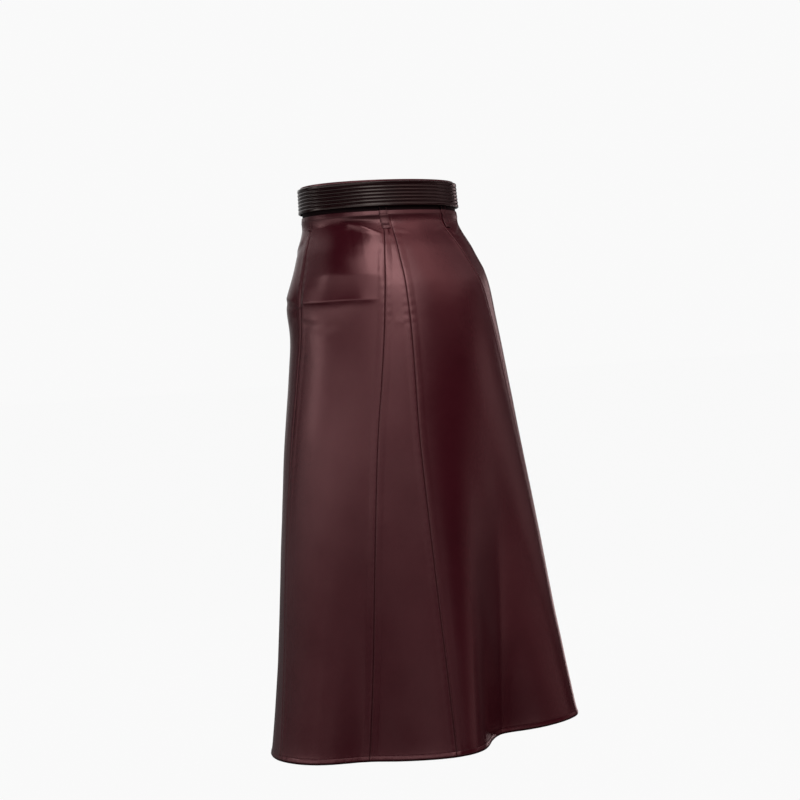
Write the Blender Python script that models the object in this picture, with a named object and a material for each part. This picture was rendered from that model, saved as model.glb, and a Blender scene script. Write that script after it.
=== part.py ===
"""High-waisted A-line leather skirt with its own stitched belt.

Frame: metres, +Z up. The origin is the centre of the waist opening, level with
the top edge of the waistband. The wearer faces -Y, so -Y is the front of the
skirt, +Y the back, +X the wearer's left.

The skirt is worn: it keeps the hollow form that its cut takes on a general
figure. Every panel is a thin wall on one skin. A point of the skin is named by
two numbers, as on the paper pattern:
    turn   degrees round the waist from centre back, + towards the wearer's left
    down   metres down the leather from the top edge of the waistband
"""
import math
from collections import namedtuple

import bpy
import bmesh
from mathutils import Vector

# ---------------------------------------------------------------- dimensions
CUT_LENGTH = 0.800          # top of waistband to hem, along the leather
BAND_HEIGHT = 0.050         # waistband
SEAM_GAP = 0.0003           # clear space between neighbouring pieces
PANEL_WALL = 0.0016         # leather of the panels
BAND_WALL = 0.0020          # doubled leather of the waistband

LOOP_WIDTH = 0.0125
LOOP_TOP = 0.0040           # down from the waist edge, under the belt
LOOP_BOTTOM = 0.0705
LOOP_WALL = 0.0014
LOOP_LIFT = 0.00035         # how far the loops lie off the leather under them

BELT_TOP = 0.0030           # down from the waist edge
BELT_BOTTOM = 0.0380
BELT_WALL = 0.0020
BELT_FOLD_WALL = 0.0013     # skived end that goes round the buckle bar
BELT_TAIL = 0.095           # tail past the buckle bar
BELT_TURN_BACK = 0.032      # skived end behind the strap

BUCKLE_LENGTH = 0.030       # bar to bar, along the belt
BUCKLE_HALF_HEIGHT = 0.0212
BUCKLE_CORNER = 0.0032
BUCKLE_WIRE = 0.0014        # radius
BAR_OUT = 0.0035            # bar axis above the waistband
FAR_OUT = 0.0059            # far side of the frame above the waistband
PRONG_RADIUS = 0.0009
KEEPER_AT = 0.046           # along the belt from the bar
KEEPER_WIDTH = 0.010
KEEPER_WALL = 0.0011

# Horizontal sections of the skin. drop is the height below the waist edge.
Section = namedtuple("Section", "drop half_width front_depth back_depth sway")
SECTIONS = (
    Section(0.000, 0.1220, 0.0890, 0.0820, 0.0000),
    Section(0.050, 0.1230, 0.0900, 0.0870, 0.0000),
    Section(0.100, 0.1395, 0.0960, 0.1108, -0.0026),
    Section(0.150, 0.1540, 0.1007, 0.1313, -0.0053),
    Section(0.200, 0.1595, 0.1031, 0.1417, -0.0053),
    Section(0.270, 0.1687, 0.1069, 0.1520, -0.0045),
    Section(0.360, 0.1814, 0.1126, 0.1608, -0.0030),
    Section(0.500, 0.1975, 0.1218, 0.1729, -0.0026),
    Section(0.650, 0.2137, 0.1316, 0.1827, -0.0025),
    Section(0.800, 0.2354, 0.1417, 0.1912, -0.0002),
)

# Flutes: the soft folds that a flared hem hangs in. out is at the hem,
# + a ridge, - a valley; spread is the half-width of the swell in degrees.
Flute = namedtuple("Flute", "turn out spread")
FLUTES = (
    Flute(53.5, -0.032, 17.6),
    Flute(17.5, 0.023, 11.6),
    Flute(-1.9, -0.008, 8.1),
    Flute(-16.0, -0.051, 15.9),
    Flute(-48.3, 0.023, 12.0),
    Flute(-78.0, -0.020, 13.0),
    Flute(-104.0, 0.016, 11.0),
    Flute(-131.0, -0.026, 15.0),
    Flute(-160.0, 0.020, 12.0),
    Flute(172.0, -0.024, 14.0),
    Flute(149.0, 0.010, 10.0),
)
FLUTE_START = 0.220         # the flutes grow from this drop down to the hem
FLUTE_POWER = 1.6

# Ease: low swells of the left buttock, and of the hip over each side pocket.
Ease = namedtuple("Ease", "turn drop out spread height")
EASES = (
    Ease(57.0, 0.103, 0.0070, 17.0, 0.040),
    Ease(118.0, 0.165, 0.0071, 28.0, 0.035),
    Ease(-118.0, 0.165, 0.0050, 28.0, 0.035),
)

# Seams: the turn of each seam at five places down the leather.
Seam = namedtuple("Seam", "name waist hip thigh knee hem")
SEAM_DOWN = (0.050, 0.150, 0.300, 0.550, 0.800)
SEAMS = {s.name: s for s in (
    Seam("side_left", 90.0, 88.0, 90.5, 96.0, 92.0),
    Seam("gore_outer", 25.9, 34.3, 40.9, 47.4, 52.4),
    Seam("gore_inner", 21.2, 23.4, 24.3, 22.5, 19.5),
    Seam("back_right", -19.6, -30.0, -40.8, -51.7, -62.2),
    Seam("side_right", -90.0, -92.0, -95.0, -99.0, -103.0),
    Seam("side_left_again", -270.0, -272.0, -269.5, -264.0, -268.0),
)}

# Panels, each between two seams, seen from outside.
Panel = namedtuple("Panel", "name from_seam to_seam columns")
PANELS = (
    Panel("side_back_left_panel", "gore_outer", "side_left", 13),
    Panel("back_left_gore", "gore_inner", "gore_outer", 8),
    Panel("centre_back_panel", "back_right", "gore_inner", 22),
    Panel("side_back_right_panel", "side_right", "back_right", 13),
    Panel("front_panel", "side_left_again", "side_right", 33),
)
PANEL_ROWS = (0.0, 0.012, 0.0247, 0.040, 0.058, 0.078, 0.100, 0.125, 0.155,
              0.190, 0.235, 0.290, 0.355, 0.425, 0.500, 0.575, 0.645, 0.700,
              0.7497)       # down from the top of the panels

Loop = namedtuple("Loop", "name turn")
LOOPS = (
    Loop("belt_loop_back_left", 26.0),
    Loop("belt_loop_back_right", -26.0),
    Loop("belt_loop_front_left", 134.0),
    Loop("belt_loop_front_right", -134.0),
)

COLOURS = {
    "leather": ((0.060, 0.016, 0.021, 1.0), 0.38, 0.0),
    "belt_leather": ((0.036, 0.010, 0.014, 1.0), 0.34, 0.0),
    "metal": ((0.30, 0.26, 0.22, 1.0), 0.28, 1.0),
}


# ------------------------------------------------------------------ the skin
def smooth(xs, ys, x):
    """Monotone cubic through the rows (xs, ys)."""
    n = len(xs)
    if x <= xs[0]:
        return ys[0]
    if x >= xs[-1]:
        return ys[-1]
    h = [xs[i + 1] - xs[i] for i in range(n - 1)]
    d = [(ys[i + 1] - ys[i]) / h[i] for i in range(n - 1)]

    def end(h0, h1, d0, d1):
        m = ((2 * h0 + h1) * d0 - h0 * d1) / (h0 + h1)
        if m * d0 <= 0:
            return 0.0
        if d0 * d1 <= 0 and abs(m) > 3 * abs(d0):
            return 3 * d0
        return m

    def slope(i):
        if i == 0:
            return end(h[0], h[1], d[0], d[1])
        if i == n - 1:
            return end(h[-1], h[-2], d[-1], d[-2])
        if d[i - 1] * d[i] <= 0:
            return 0.0
        w1, w2 = 2 * h[i] + h[i - 1], h[i] + 2 * h[i - 1]
        return (w1 + w2) / (w1 / d[i - 1] + w2 / d[i])

    i = max(k for k in range(n - 1) if xs[k] <= x)
    t = (x - xs[i]) / h[i]
    m0, m1 = slope(i) * h[i], slope(i + 1) * h[i]
    return ((2 * t - 3) * t * t + 1) * ys[i] + ((t - 2) * t + 1) * t * m0 \
        + (3 - 2 * t) * t * t * ys[i + 1] + (t - 1) * t * t * m1


DROPS = [s.drop for s in SECTIONS]


def apart(a, b):
    """Signed difference of two turns, in degrees."""
    return (a - b + 180.0) % 360.0 - 180.0


def skin(turn, drop):
    """The skin's point at a turn and a height below the waist edge."""
    half = smooth(DROPS, [s.half_width for s in SECTIONS], drop)
    front = smooth(DROPS, [s.front_depth for s in SECTIONS], drop)
    back = smooth(DROPS, [s.back_depth for s in SECTIONS], drop)
    sway = smooth(DROPS, [s.sway for s in SECTIONS], drop)
    u = math.radians(turn)
    x = half * math.sin(u)
    y = (back if math.cos(u) > 0 else front) * math.cos(u)
    grow = min(max((drop - FLUTE_START) / (CUT_LENGTH - FLUTE_START), 0.0), 1.0)
    out = grow ** FLUTE_POWER * sum(
        f.out * math.exp(-(apart(turn, f.turn) / f.spread) ** 2) for f in FLUTES)
    out += sum(e.out * math.exp(-(apart(turn, e.turn) / e.spread) ** 2)
               * math.exp(-((drop - e.drop) / e.height) ** 2) for e in EASES)
    k = 1.0 + out / math.hypot(x, y)
    return Vector((x * k + sway, y * k, -drop))


MERIDIANS = {}


def meridian(turn):
    """Lengths down the leather against drops, along one turn."""
    key = round(turn, 6)
    if key not in MERIDIANS:
        drops = [CUT_LENGTH * i / 80 for i in range(81)]
        points = [skin(turn, d) for d in drops]
        lengths = [0.0]
        for a, b in zip(points, points[1:]):
            lengths.append(lengths[-1] + (b - a).length)
        MERIDIANS[key] = (lengths, drops)
    return MERIDIANS[key]


def at(turn, down):
    """The skin's point at a turn and a length down the leather."""
    lengths, drops = meridian(turn)
    if down <= 0:
        return skin(turn, down)
    i = next((k for k in range(len(lengths) - 1) if lengths[k + 1] >= down),
             len(lengths) - 2)
    t = (down - lengths[i]) / (lengths[i + 1] - lengths[i])
    return skin(turn, drops[i] + t * (drops[i + 1] - drops[i]))


def outward(turn, down):
    """The skin's outward normal."""
    e, s = 0.4, 0.002
    low, high = max(down - s, 0.0), min(down + s, CUT_LENGTH)
    across = at(turn + e, down) - at(turn - e, down)
    along = at(turn, high) - at(turn, low)
    n = along.cross(across).normalized()
    p = at(turn, down)
    return n if n.x * p.x + n.y * p.y > 0 else -n


def seam_turn(name, down):
    s = SEAMS[name]
    return smooth(SEAM_DOWN, (s.waist, s.hip, s.thigh, s.knee, s.hem), down)


def turn_for(width, turn, down):
    """Degrees that a width along the skin spans."""
    return width / ((at(turn + 0.5, down) - at(turn - 0.5, down)).length)


# ------------------------------------------------------------- mesh building
def add_object(name, vertices, faces, colour):
    mesh = bpy.data.meshes.new(name)
    mesh.from_pydata([tuple(v) for v in vertices], [], faces)
    bm = bmesh.new()
    bm.from_mesh(mesh)
    bmesh.ops.recalc_face_normals(bm, faces=bm.faces)
    if bm.calc_volume(signed=True) < 0:
        bmesh.ops.reverse_faces(bm, faces=bm.faces)
    bm.to_mesh(mesh)
    bm.free()
    mesh.shade_smooth()
    mesh.set_sharp_from_angle(angle=math.radians(40))
    obj = bpy.data.objects.new(name, mesh)
    bpy.context.scene.collection.objects.link(obj)
    rgba, rough, metal = COLOURS[colour]
    mat = bpy.data.materials.new(name)
    mat.use_nodes = True
    shader = mat.node_tree.nodes["Principled BSDF"]
    shader.inputs["Base Color"].default_value = rgba
    shader.inputs["Roughness"].default_value = rough
    shader.inputs["Metallic"].default_value = metal
    mat.diffuse_color = rgba
    mesh.materials.append(mat)
    return obj


def wall(name, outer, inner, colour, ring=False):
    """A closed wall between two grids of points, rows of equal length."""
    rows, cols = len(outer), len(outer[0])
    vertices = [p for row in outer for p in row] + [p for row in inner for p in row]
    shift = rows * cols

    def o(r, c):
        return r * cols + c % cols

    def i(r, c):
        return shift + o(r, c)

    faces = []
    last = cols if ring else cols - 1
    for r in range(rows - 1):
        for c in range(last):
            faces.append((o(r, c), o(r, c + 1), o(r + 1, c + 1), o(r + 1, c)))
            faces.append((i(r, c), i(r + 1, c), i(r + 1, c + 1), i(r, c + 1)))
    for c in range(last):
        faces.append((o(0, c), i(0, c), i(0, c + 1), o(0, c + 1)))
        faces.append((o(rows - 1, c), o(rows - 1, c + 1), i(rows - 1, c + 1), i(rows - 1, c)))
    if not ring:
        for r in range(rows - 1):
            faces.append((o(r, 0), o(r + 1, 0), i(r + 1, 0), i(r, 0)))
            faces.append((o(r, cols - 1), i(r, cols - 1), i(r + 1, cols - 1), o(r + 1, cols - 1)))
    return add_object(name, vertices, faces, colour)


def sweep(name, stations, colour, closed=False):
    """A closed solid through stations, each a ring of as many points."""
    n, k = len(stations), len(stations[0])
    vertices = [p for s in stations for p in s]
    faces = []
    for s in range(n if closed else n - 1):
        t = (s + 1) % n
        for j in range(k):
            m = (j + 1) % k
            faces.append((s * k + j, s * k + m, t * k + m, t * k + j))
    if not closed:
        faces.append(tuple(range(k)))
        faces.append(tuple((n - 1) * k + j for j in reversed(range(k))))
    return add_object(name, vertices, faces, colour)


# -------------------------------------------------------------------- panels
def build_panels():
    top = BAND_HEIGHT + SEAM_GAP
    for panel in PANELS:
        outer, inner = [], []
        for row in PANEL_ROWS:
            down = top + row
            a, b = seam_turn(panel.from_seam, down), seam_turn(panel.to_seam, down)
            a += turn_for(SEAM_GAP / 2, a, down)
            b -= turn_for(SEAM_GAP / 2, b, down)
            o, i = [], []
            for c in range(panel.columns + 1):
                turn = a + (b - a) * c / panel.columns
                p = at(turn, down)
                o.append(p)
                i.append(p - outward(turn, down) * PANEL_WALL)
            outer.append(o)
            inner.append(i)
        wall(panel.name, outer, inner, "leather")


def build_waistband():
    rows, columns = (0.0, 0.025, BAND_HEIGHT), 64
    outer, inner = [], []
    for down in rows:
        o, i = [], []
        for c in range(columns):
            turn = 360.0 * c / columns
            p = at(turn, down)
            o.append(p)
            i.append(p - outward(turn, down) * BAND_WALL)
        outer.append(o)
        inner.append(i)
    wall("waistband", outer, inner, "leather", ring=True)


def build_loops():
    seam_row = BAND_HEIGHT + SEAM_GAP
    rows = (LOOP_TOP, 0.025, BAND_HEIGHT, seam_row + PANEL_ROWS[1], LOOP_BOTTOM)
    for loop in LOOPS:
        outer, inner = [], []
        for down in rows:
            half = turn_for(LOOP_WIDTH / 2, loop.turn, down)
            o, i = [], []
            for c in range(5):
                turn = loop.turn + half * (c - 2) / 2
                p, n = at(turn, down), outward(turn, down)
                i.append(p + n * LOOP_LIFT)
                o.append(p + n * (LOOP_LIFT + LOOP_WALL))
            outer.append(o)
            inner.append(i)
        wall(loop.name, outer, inner, "leather")


# ---------------------------------------------------------------------- belt
# The belt is laid out flat: x along it from the buckle bar, towards the
# wearer's right and on round the waist; out from the waistband; down as above.
BELT_MIDDLE = (BELT_TOP + BELT_BOTTOM) / 2
BELT_STEPS = 720


def waist_lengths():
    points = [at(360.0 * k / BELT_STEPS, BELT_MIDDLE) for k in range(BELT_STEPS + 1)]
    lengths = [0.0]
    for a, b in zip(points, points[1:]):
        lengths.append(lengths[-1] + (b - a).length)
    return lengths


WAIST_LENGTHS = waist_lengths()
WAIST_GIRTH = WAIST_LENGTHS[-1]
BAR_FROM_FRONT = BUCKLE_LENGTH / 2


def belt_turn(x):
    """The turn at a distance x along the belt."""
    s = (WAIST_LENGTHS[BELT_STEPS // 2] + BAR_FROM_FRONT + x) % WAIST_GIRTH
    k = next(i for i in range(BELT_STEPS) if WAIST_LENGTHS[i + 1] >= s)
    t = (s - WAIST_LENGTHS[k]) / (WAIST_LENGTHS[k + 1] - WAIST_LENGTHS[k])
    return 360.0 * (k + t) / BELT_STEPS


def on_belt(x, out, down):
    turn = belt_turn(x)
    return at(turn, down) + outward(turn, BELT_MIDDLE) * out


# Height of the strap's inner face along its lap, measured from the waistband.
# lap is x in metres, or x after one full turn where turns is 1.
Lift = namedtuple("Lift", "turns lap out")
LIFTS = (
    Lift(0, 0.000, 0.0052), Lift(0, 0.006, 0.0042), Lift(0, 0.014, 0.0022),
    Lift(0, 0.036, 0.0022), Lift(0, 0.060, 0.0022), Lift(1, -0.060, 0.0022),
    Lift(1, -0.040, 0.0019), Lift(1, -0.026, 0.0019), Lift(1, -0.002, 0.0076),
    Lift(1, 0.004, 0.0076), Lift(1, 0.016, 0.0046), Lift(1, BELT_TAIL, 0.0046),
)


def strap_lift(x):
    return smooth([l.lap + l.turns * WAIST_GIRTH for l in LIFTS],
                  [l.out for l in LIFTS], x)


def strap_station(x, low, high, half):
    middle = BELT_MIDDLE
    return [on_belt(x, low, middle - half), on_belt(x, high, middle - half),
            on_belt(x, high, middle + half), on_belt(x, low, middle + half)]


def build_strap():
    half = (BELT_BOTTOM - BELT_TOP) / 2
    stations = []
    # the skived end behind the strap, from its cut edge to the bar
    for k in range(5):
        x = BELT_TURN_BACK * (1 - k / 4)
        stations.append(strap_station(x, 0.0018, 0.0005, half))
    # round the bar, from behind it to its front
    inner = BAR_OUT - 0.0018
    for k in range(1, 8):
        a = math.radians(-90 - 180 * k / 8)
        wall_here = BELT_FOLD_WALL + (BELT_WALL - BELT_FOLD_WALL) * k / 8
        low = (inner * math.cos(a), BAR_OUT + inner * math.sin(a))
        high = ((inner + wall_here) * math.cos(a), BAR_OUT + (inner + wall_here) * math.sin(a))
        stations.append([
            on_belt(low[0], low[1], BELT_MIDDLE - half), on_belt(high[0], high[1], BELT_MIDDLE - half),
            on_belt(high[0], high[1], BELT_MIDDLE + half), on_belt(low[0], low[1], BELT_MIDDLE + half)])
    # the lap round the waist and over itself to the tail
    end = WAIST_GIRTH + BELT_TAIL
    marks = [0.0, 0.003, 0.006, 0.010, 0.014, 0.024, 0.036, 0.048, 0.060]
    x = 0.060
    while x < WAIST_GIRTH - 0.062:
        x += 0.0095
        marks.append(x)
    marks += [WAIST_GIRTH + m for m in (-0.046, -0.040, -0.033, -0.026, -0.022, -0.018, -0.014,
                                        -0.010, -0.006, -0.002, 0.001, 0.004, 0.008, 0.012, 0.016,
                                        0.024, 0.034, 0.044, 0.054, 0.064, 0.074, 0.083)]
    for x in marks:
        low = strap_lift(x)
        stations.append(strap_station(x, low, low + BELT_WALL, half))
    # rounded point
    for k in range(1, 6):
        a = math.radians(90 * k / 5)
        x = end - 0.012 + 0.012 * math.sin(a)
        low = strap_lift(x)
        stations.append(strap_station(x, low, low + BELT_WALL, max(half * math.cos(a) ** 0.7, 0.003)))
    strap = sweep("belt_strap", stations, "belt_leather")

    # slot in the fold and oblong hole in the tail, where the prong passes
    Cut = namedtuple("Cut", "name x_from x_to out_from out_to half_height")
    for cut in (Cut("cut_fold", -0.0050, 0.0046, -0.0010, 0.00740, 0.0024),
                Cut("cut_tail", -0.0105, -0.0012, 0.0045, 0.0130, 0.0018)):
        corners = []
        for x in (cut.x_from, cut.x_to):
            for o in (cut.out_from, cut.out_to):
                for s in (-1, 1):
                    corners.append(on_belt(x, o, BELT_MIDDLE + s * cut.half_height))
        faces = [(0, 1, 3, 2), (4, 6, 7, 5), (0, 4, 5, 1), (2, 3, 7, 6), (0, 2, 6, 4), (1, 5, 7, 3)]
        cutter = add_object(cut.name, corners, faces, "belt_leather")
        cutter.hide_render = True
        cutter.display_type = 'WIRE'
        cutter.parent = strap
        boolean = strap.modifiers.new(cut.name, 'BOOLEAN')
        boolean.operation = 'DIFFERENCE'
        boolean.object = cutter
        boolean.solver = 'EXACT'
    return strap


def round_wire(path, radius, sides):
    """Rings round a path of (x, out, down) places on the belt."""
    points = [on_belt(*p) for p in path]
    rings = []
    n = len(points)
    for k, p in enumerate(points):
        closed = (points[0] - points[-1]).length < 1e-9
        before = points[k - 1] if k else points[0]
        after = points[k + 1] if k < n - 1 else points[-1]
        way = (after - before).normalized()
        turn = belt_turn(path[k][0])
        side = outward(turn, BELT_MIDDLE)
        side = (side - way * side.dot(way))
        side.normalize()
        other = way.cross(side)
        rings.append([p + side * radius * math.cos(2 * math.pi * j / sides)
                      + other * radius * math.sin(2 * math.pi * j / sides) for j in range(sides)])
    return rings


def build_buckle():
    # the frame: a rounded rectangle, its bar at x = 0, its far side raised
    h, r = BUCKLE_HALF_HEIGHT, BUCKLE_CORNER
    flat = []
    for cx, cz, start in ((0.0, h, 0), (-BUCKLE_LENGTH, h, 90), (-BUCKLE_LENGTH, -h, 180), (0.0, -h, 270)):
        sx = 1 if cx == 0.0 else -1
        sz = 1 if cz > 0 else -1
        ox, oz = cx - sx * r, cz - sz * r
        for k in range(4):
            a = math.radians(start + 90 * k / 3)
            flat.append((ox + r * math.cos(a), oz + r * math.sin(a)))
    path = []
    for k, (x, z) in enumerate(flat):
        path.append((x, z))
        nx, nz = flat[(k + 1) % len(flat)]
        if math.hypot(nx - x, nz - z) > 0.008:
            parts = 3
            path += [(x + (nx - x) * j / parts, z + (nz - z) * j / parts) for j in range(1, parts)]
    places = []
    for x, z in path:
        out = BAR_OUT + (FAR_OUT - BAR_OUT) * min(-x / BUCKLE_LENGTH, 1.0)
        places.append((x, out, BELT_MIDDLE - z))
    points = [on_belt(*p) for p in places]
    rings, n, sides = [], len(points), 8
    for k, p in enumerate(points):
        way = (points[(k + 1) % n] - points[k - 1]).normalized()
        side = outward(belt_turn(places[k][0]), BELT_MIDDLE)
        side = (side - way * side.dot(way)).normalized()
        other = way.cross(side)
        rings.append([p + side * BUCKLE_WIRE * math.cos(2 * math.pi * j / sides)
                      + other * BUCKLE_WIRE * math.sin(2 * math.pi * j / sides) for j in range(sides)])
    sweep("buckle_frame", rings, "metal", closed=True)

    # the prong: hooked on the bar, up through the tail, resting on the far side
    grip = BUCKLE_WIRE + 0.0003 + PRONG_RADIUS
    bend = [(grip * math.cos(math.radians(a)), BAR_OUT + grip * math.sin(math.radians(a)))
            for a in (-35, -10, 15, 40, 65, 90)]
    reach = [(-0.0030, 0.0068), (-0.0055, 0.0083), (-0.0085, 0.0098), (-0.0130, 0.0101),
             (-0.0200, 0.0096), (-BUCKLE_LENGTH, FAR_OUT + BUCKLE_WIRE + 0.0004 + PRONG_RADIUS),
             (-BUCKLE_LENGTH - 0.0028, FAR_OUT + BUCKLE_WIRE + 0.0001 + PRONG_RADIUS)]
    rings = round_wire([(x, o, BELT_MIDDLE) for x, o in bend + reach], PRONG_RADIUS, 8)
    sweep("buckle_prong", rings, "metal")

    # the keeper: a leather ring round the strap and its tail
    low, high = 0.0017, 0.0070
    rise = (BELT_BOTTOM - BELT_TOP) / 2 + 0.0004
    stations = []
    for k in range(5):
        x = KEEPER_AT + KEEPER_WIDTH * (k / 4 - 0.5)
        inside = [(low, -rise), (high, -rise), (high, rise), (low, rise)]
        w = KEEPER_WALL
        outside = [(low - w, -rise - w), (high + w, -rise - w), (high + w, rise + w), (low - w, rise + w)]
        stations.append(([on_belt(x, o, BELT_MIDDLE + z) for o, z in inside],
                         [on_belt(x, o, BELT_MIDDLE + z) for o, z in outside]))
    outer = [s[1] for s in stations]
    inner = [s[0] for s in stations]
    wall("belt_keeper", outer, inner, "belt_leather", ring=True)


def clear():
    for obj in list(bpy.data.objects):
        bpy.data.objects.remove(obj, do_unlink=True)


def main():
    clear()
    build_waistband()
    build_panels()
    build_loops()
    build_strap()
    build_buckle()


main()
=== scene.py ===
"""Looks of the belted leather skirt: detailed shells, stitching, materials, light, camera.

Every piece is laid on the same skin as the CAD panels. A place on the leather is
named by two numbers:
    turn   degrees round the waist from centre back, + towards the wearer's left
    down   metres down the leather from the top edge of the waistband
and out is the distance off the skin along its outward normal.
"""

import math
from collections import namedtuple

import bpy
import numpy as np
from mathutils import Matrix, Vector


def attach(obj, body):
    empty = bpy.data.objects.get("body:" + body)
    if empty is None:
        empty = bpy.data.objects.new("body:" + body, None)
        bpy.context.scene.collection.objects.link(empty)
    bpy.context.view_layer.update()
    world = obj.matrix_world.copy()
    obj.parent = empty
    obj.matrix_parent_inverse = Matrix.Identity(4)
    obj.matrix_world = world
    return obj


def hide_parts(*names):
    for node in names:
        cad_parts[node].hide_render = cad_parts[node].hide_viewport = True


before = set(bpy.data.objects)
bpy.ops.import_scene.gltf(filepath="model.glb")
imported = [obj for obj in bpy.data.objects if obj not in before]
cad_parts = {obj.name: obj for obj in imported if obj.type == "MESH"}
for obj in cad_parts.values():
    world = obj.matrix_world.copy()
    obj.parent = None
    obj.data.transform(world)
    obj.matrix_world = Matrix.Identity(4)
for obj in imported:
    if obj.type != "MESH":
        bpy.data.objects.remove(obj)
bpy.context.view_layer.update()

# ------------------------------------------------------------------ dimensions
CUT_LENGTH = 0.800
BAND_HEIGHT = 0.050
BAND_WALL = 0.0020
PANEL_WALL = 0.0013
SEAM_CLEAR = 0.00005        # half the clear line between two visual shells

LOOP_WIDTH = 0.0125
LOOP_TOP = 0.0040
LOOP_BOTTOM = 0.0705
LOOP_WALL = 0.0008

BELT_TOP = 0.0030
BELT_BOTTOM = 0.0380
BELT_WALL = 0.0020
BELT_FOLD_WALL = 0.0013
BELT_TAIL = 0.095
BELT_TURN_BACK = 0.032
BELT_ROWS = 6               # rows of topstitching along the belt
BELT_PITCH = 0.0048         # between the rows

BUCKLE_LENGTH = 0.030
BUCKLE_HALF_HEIGHT = 0.0212
BUCKLE_CORNER = 0.0032
BUCKLE_WIRE = 0.0014
BAR_OUT = 0.0035
FAR_OUT = 0.0059
PRONG_RADIUS = 0.0009
KEEPER_AT = 0.046
KEEPER_WIDTH = 0.010
KEEPER_WALL = 0.0011

HEM_FOLD = 0.0078           # turned edge, from the hem edge up to its stitching
STITCH = 0.0024             # length of one stitch
STITCH_PITCH = 0.0032
THREAD = 0.00020            # thread radius

POCKET_TOP = 0.064          # in-seam pocket mouths, down the side seams
POCKET_END = 0.174

Section = namedtuple("Section", "drop half_width front_depth back_depth sway")
SECTIONS = (
    Section(0.000, 0.1220, 0.0890, 0.0820, 0.0000),
    Section(0.050, 0.1230, 0.0900, 0.0870, 0.0000),
    Section(0.100, 0.1395, 0.0960, 0.1108, -0.0026),
    Section(0.150, 0.1540, 0.1007, 0.1313, -0.0053),
    Section(0.200, 0.1595, 0.1031, 0.1417, -0.0053),
    Section(0.270, 0.1687, 0.1069, 0.1520, -0.0045),
    Section(0.360, 0.1814, 0.1126, 0.1608, -0.0030),
    Section(0.500, 0.1975, 0.1218, 0.1729, -0.0026),
    Section(0.650, 0.2137, 0.1316, 0.1827, -0.0025),
    Section(0.800, 0.2354, 0.1417, 0.1912, -0.0002),
)
Flute = namedtuple("Flute", "turn out spread")
FLUTES = (
    Flute(53.5, -0.032, 17.6),
    Flute(17.5, 0.023, 11.6),
    Flute(-1.9, -0.008, 8.1),
    Flute(-16.0, -0.051, 15.9),
    Flute(-48.3, 0.023, 12.0),
    Flute(-78.0, -0.020, 13.0),
    Flute(-104.0, 0.016, 11.0),
    Flute(-131.0, -0.026, 15.0),
    Flute(-160.0, 0.020, 12.0),
    Flute(172.0, -0.024, 14.0),
    Flute(149.0, 0.010, 10.0),
)
FLUTE_START = 0.220
FLUTE_POWER = 1.6
Ease = namedtuple("Ease", "turn drop out spread height")
EASES = (
    Ease(57.0, 0.103, 0.0070, 17.0, 0.040),
    Ease(118.0, 0.165, 0.0071, 28.0, 0.035),
    Ease(-118.0, 0.165, 0.0050, 28.0, 0.035),
)
Seam = namedtuple("Seam", "name waist hip thigh knee hem")
SEAM_DOWN = (0.050, 0.150, 0.300, 0.550, 0.800)
SEAMS = {s.name: s for s in (
    Seam("side_left", 90.0, 88.0, 90.5, 96.0, 92.0),
    Seam("gore_outer", 25.9, 34.3, 40.9, 47.4, 52.4),
    Seam("gore_inner", 21.2, 23.4, 24.3, 22.5, 19.5),
    Seam("back_right", -19.6, -30.0, -40.8, -51.7, -62.2),
    Seam("side_right", -90.0, -92.0, -95.0, -99.0, -103.0),
    Seam("side_left_again", -270.0, -272.0, -269.5, -264.0, -268.0),
)}
Loop = namedtuple("Loop", "name turn")
LOOPS = (
    Loop("belt_loop_back_left", 26.0),
    Loop("belt_loop_back_right", -26.0),
    Loop("belt_loop_front_left", 134.0),
    Loop("belt_loop_front_right", -134.0),
)


# -------------------------------------------------------------------- the skin
def smooth(xs, ys, x):
    """Monotone cubic through the rows (xs, ys), for arrays."""
    xs, ys, x = np.asarray(xs, float), np.asarray(ys, float), np.asarray(x, float)
    n, h = len(xs), np.diff(xs)
    d = np.diff(ys) / h
    m = np.zeros(n)
    for i in range(1, n - 1):
        if d[i - 1] * d[i] > 0:
            w1, w2 = 2 * h[i] + h[i - 1], h[i] + 2 * h[i - 1]
            m[i] = (w1 + w2) / (w1 / d[i - 1] + w2 / d[i])

    def end(h0, h1, d0, d1):
        e = ((2 * h0 + h1) * d0 - h0 * d1) / (h0 + h1)
        if e * d0 <= 0:
            return 0.0
        if d0 * d1 <= 0 and abs(e) > 3 * abs(d0):
            return 3 * d0
        return e

    m[0], m[-1] = end(h[0], h[1], d[0], d[1]), end(h[-1], h[-2], d[-1], d[-2])
    x = np.clip(x, xs[0], xs[-1])
    i = np.clip(np.searchsorted(xs, x, side="right") - 1, 0, n - 2)
    t = (x - xs[i]) / h[i]
    m0, m1 = m[i] * h[i], m[i + 1] * h[i]
    return ((2 * t - 3) * t * t + 1) * ys[i] + ((t - 2) * t + 1) * t * m0 \
        + (3 - 2 * t) * t * t * ys[i + 1] + (t - 1) * t * t * m1


def step(low, high, x):
    """0 below low, 1 above high, smooth between."""
    t = np.clip((np.asarray(x, float) - low) / (high - low), 0.0, 1.0)
    return t * t * (3 - 2 * t)


def apart(a, b):
    return (a - b + 180.0) % 360.0 - 180.0


DROPS = np.array([s.drop for s in SECTIONS])


def column(name):
    return np.array([getattr(s, name) for s in SECTIONS])


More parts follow.
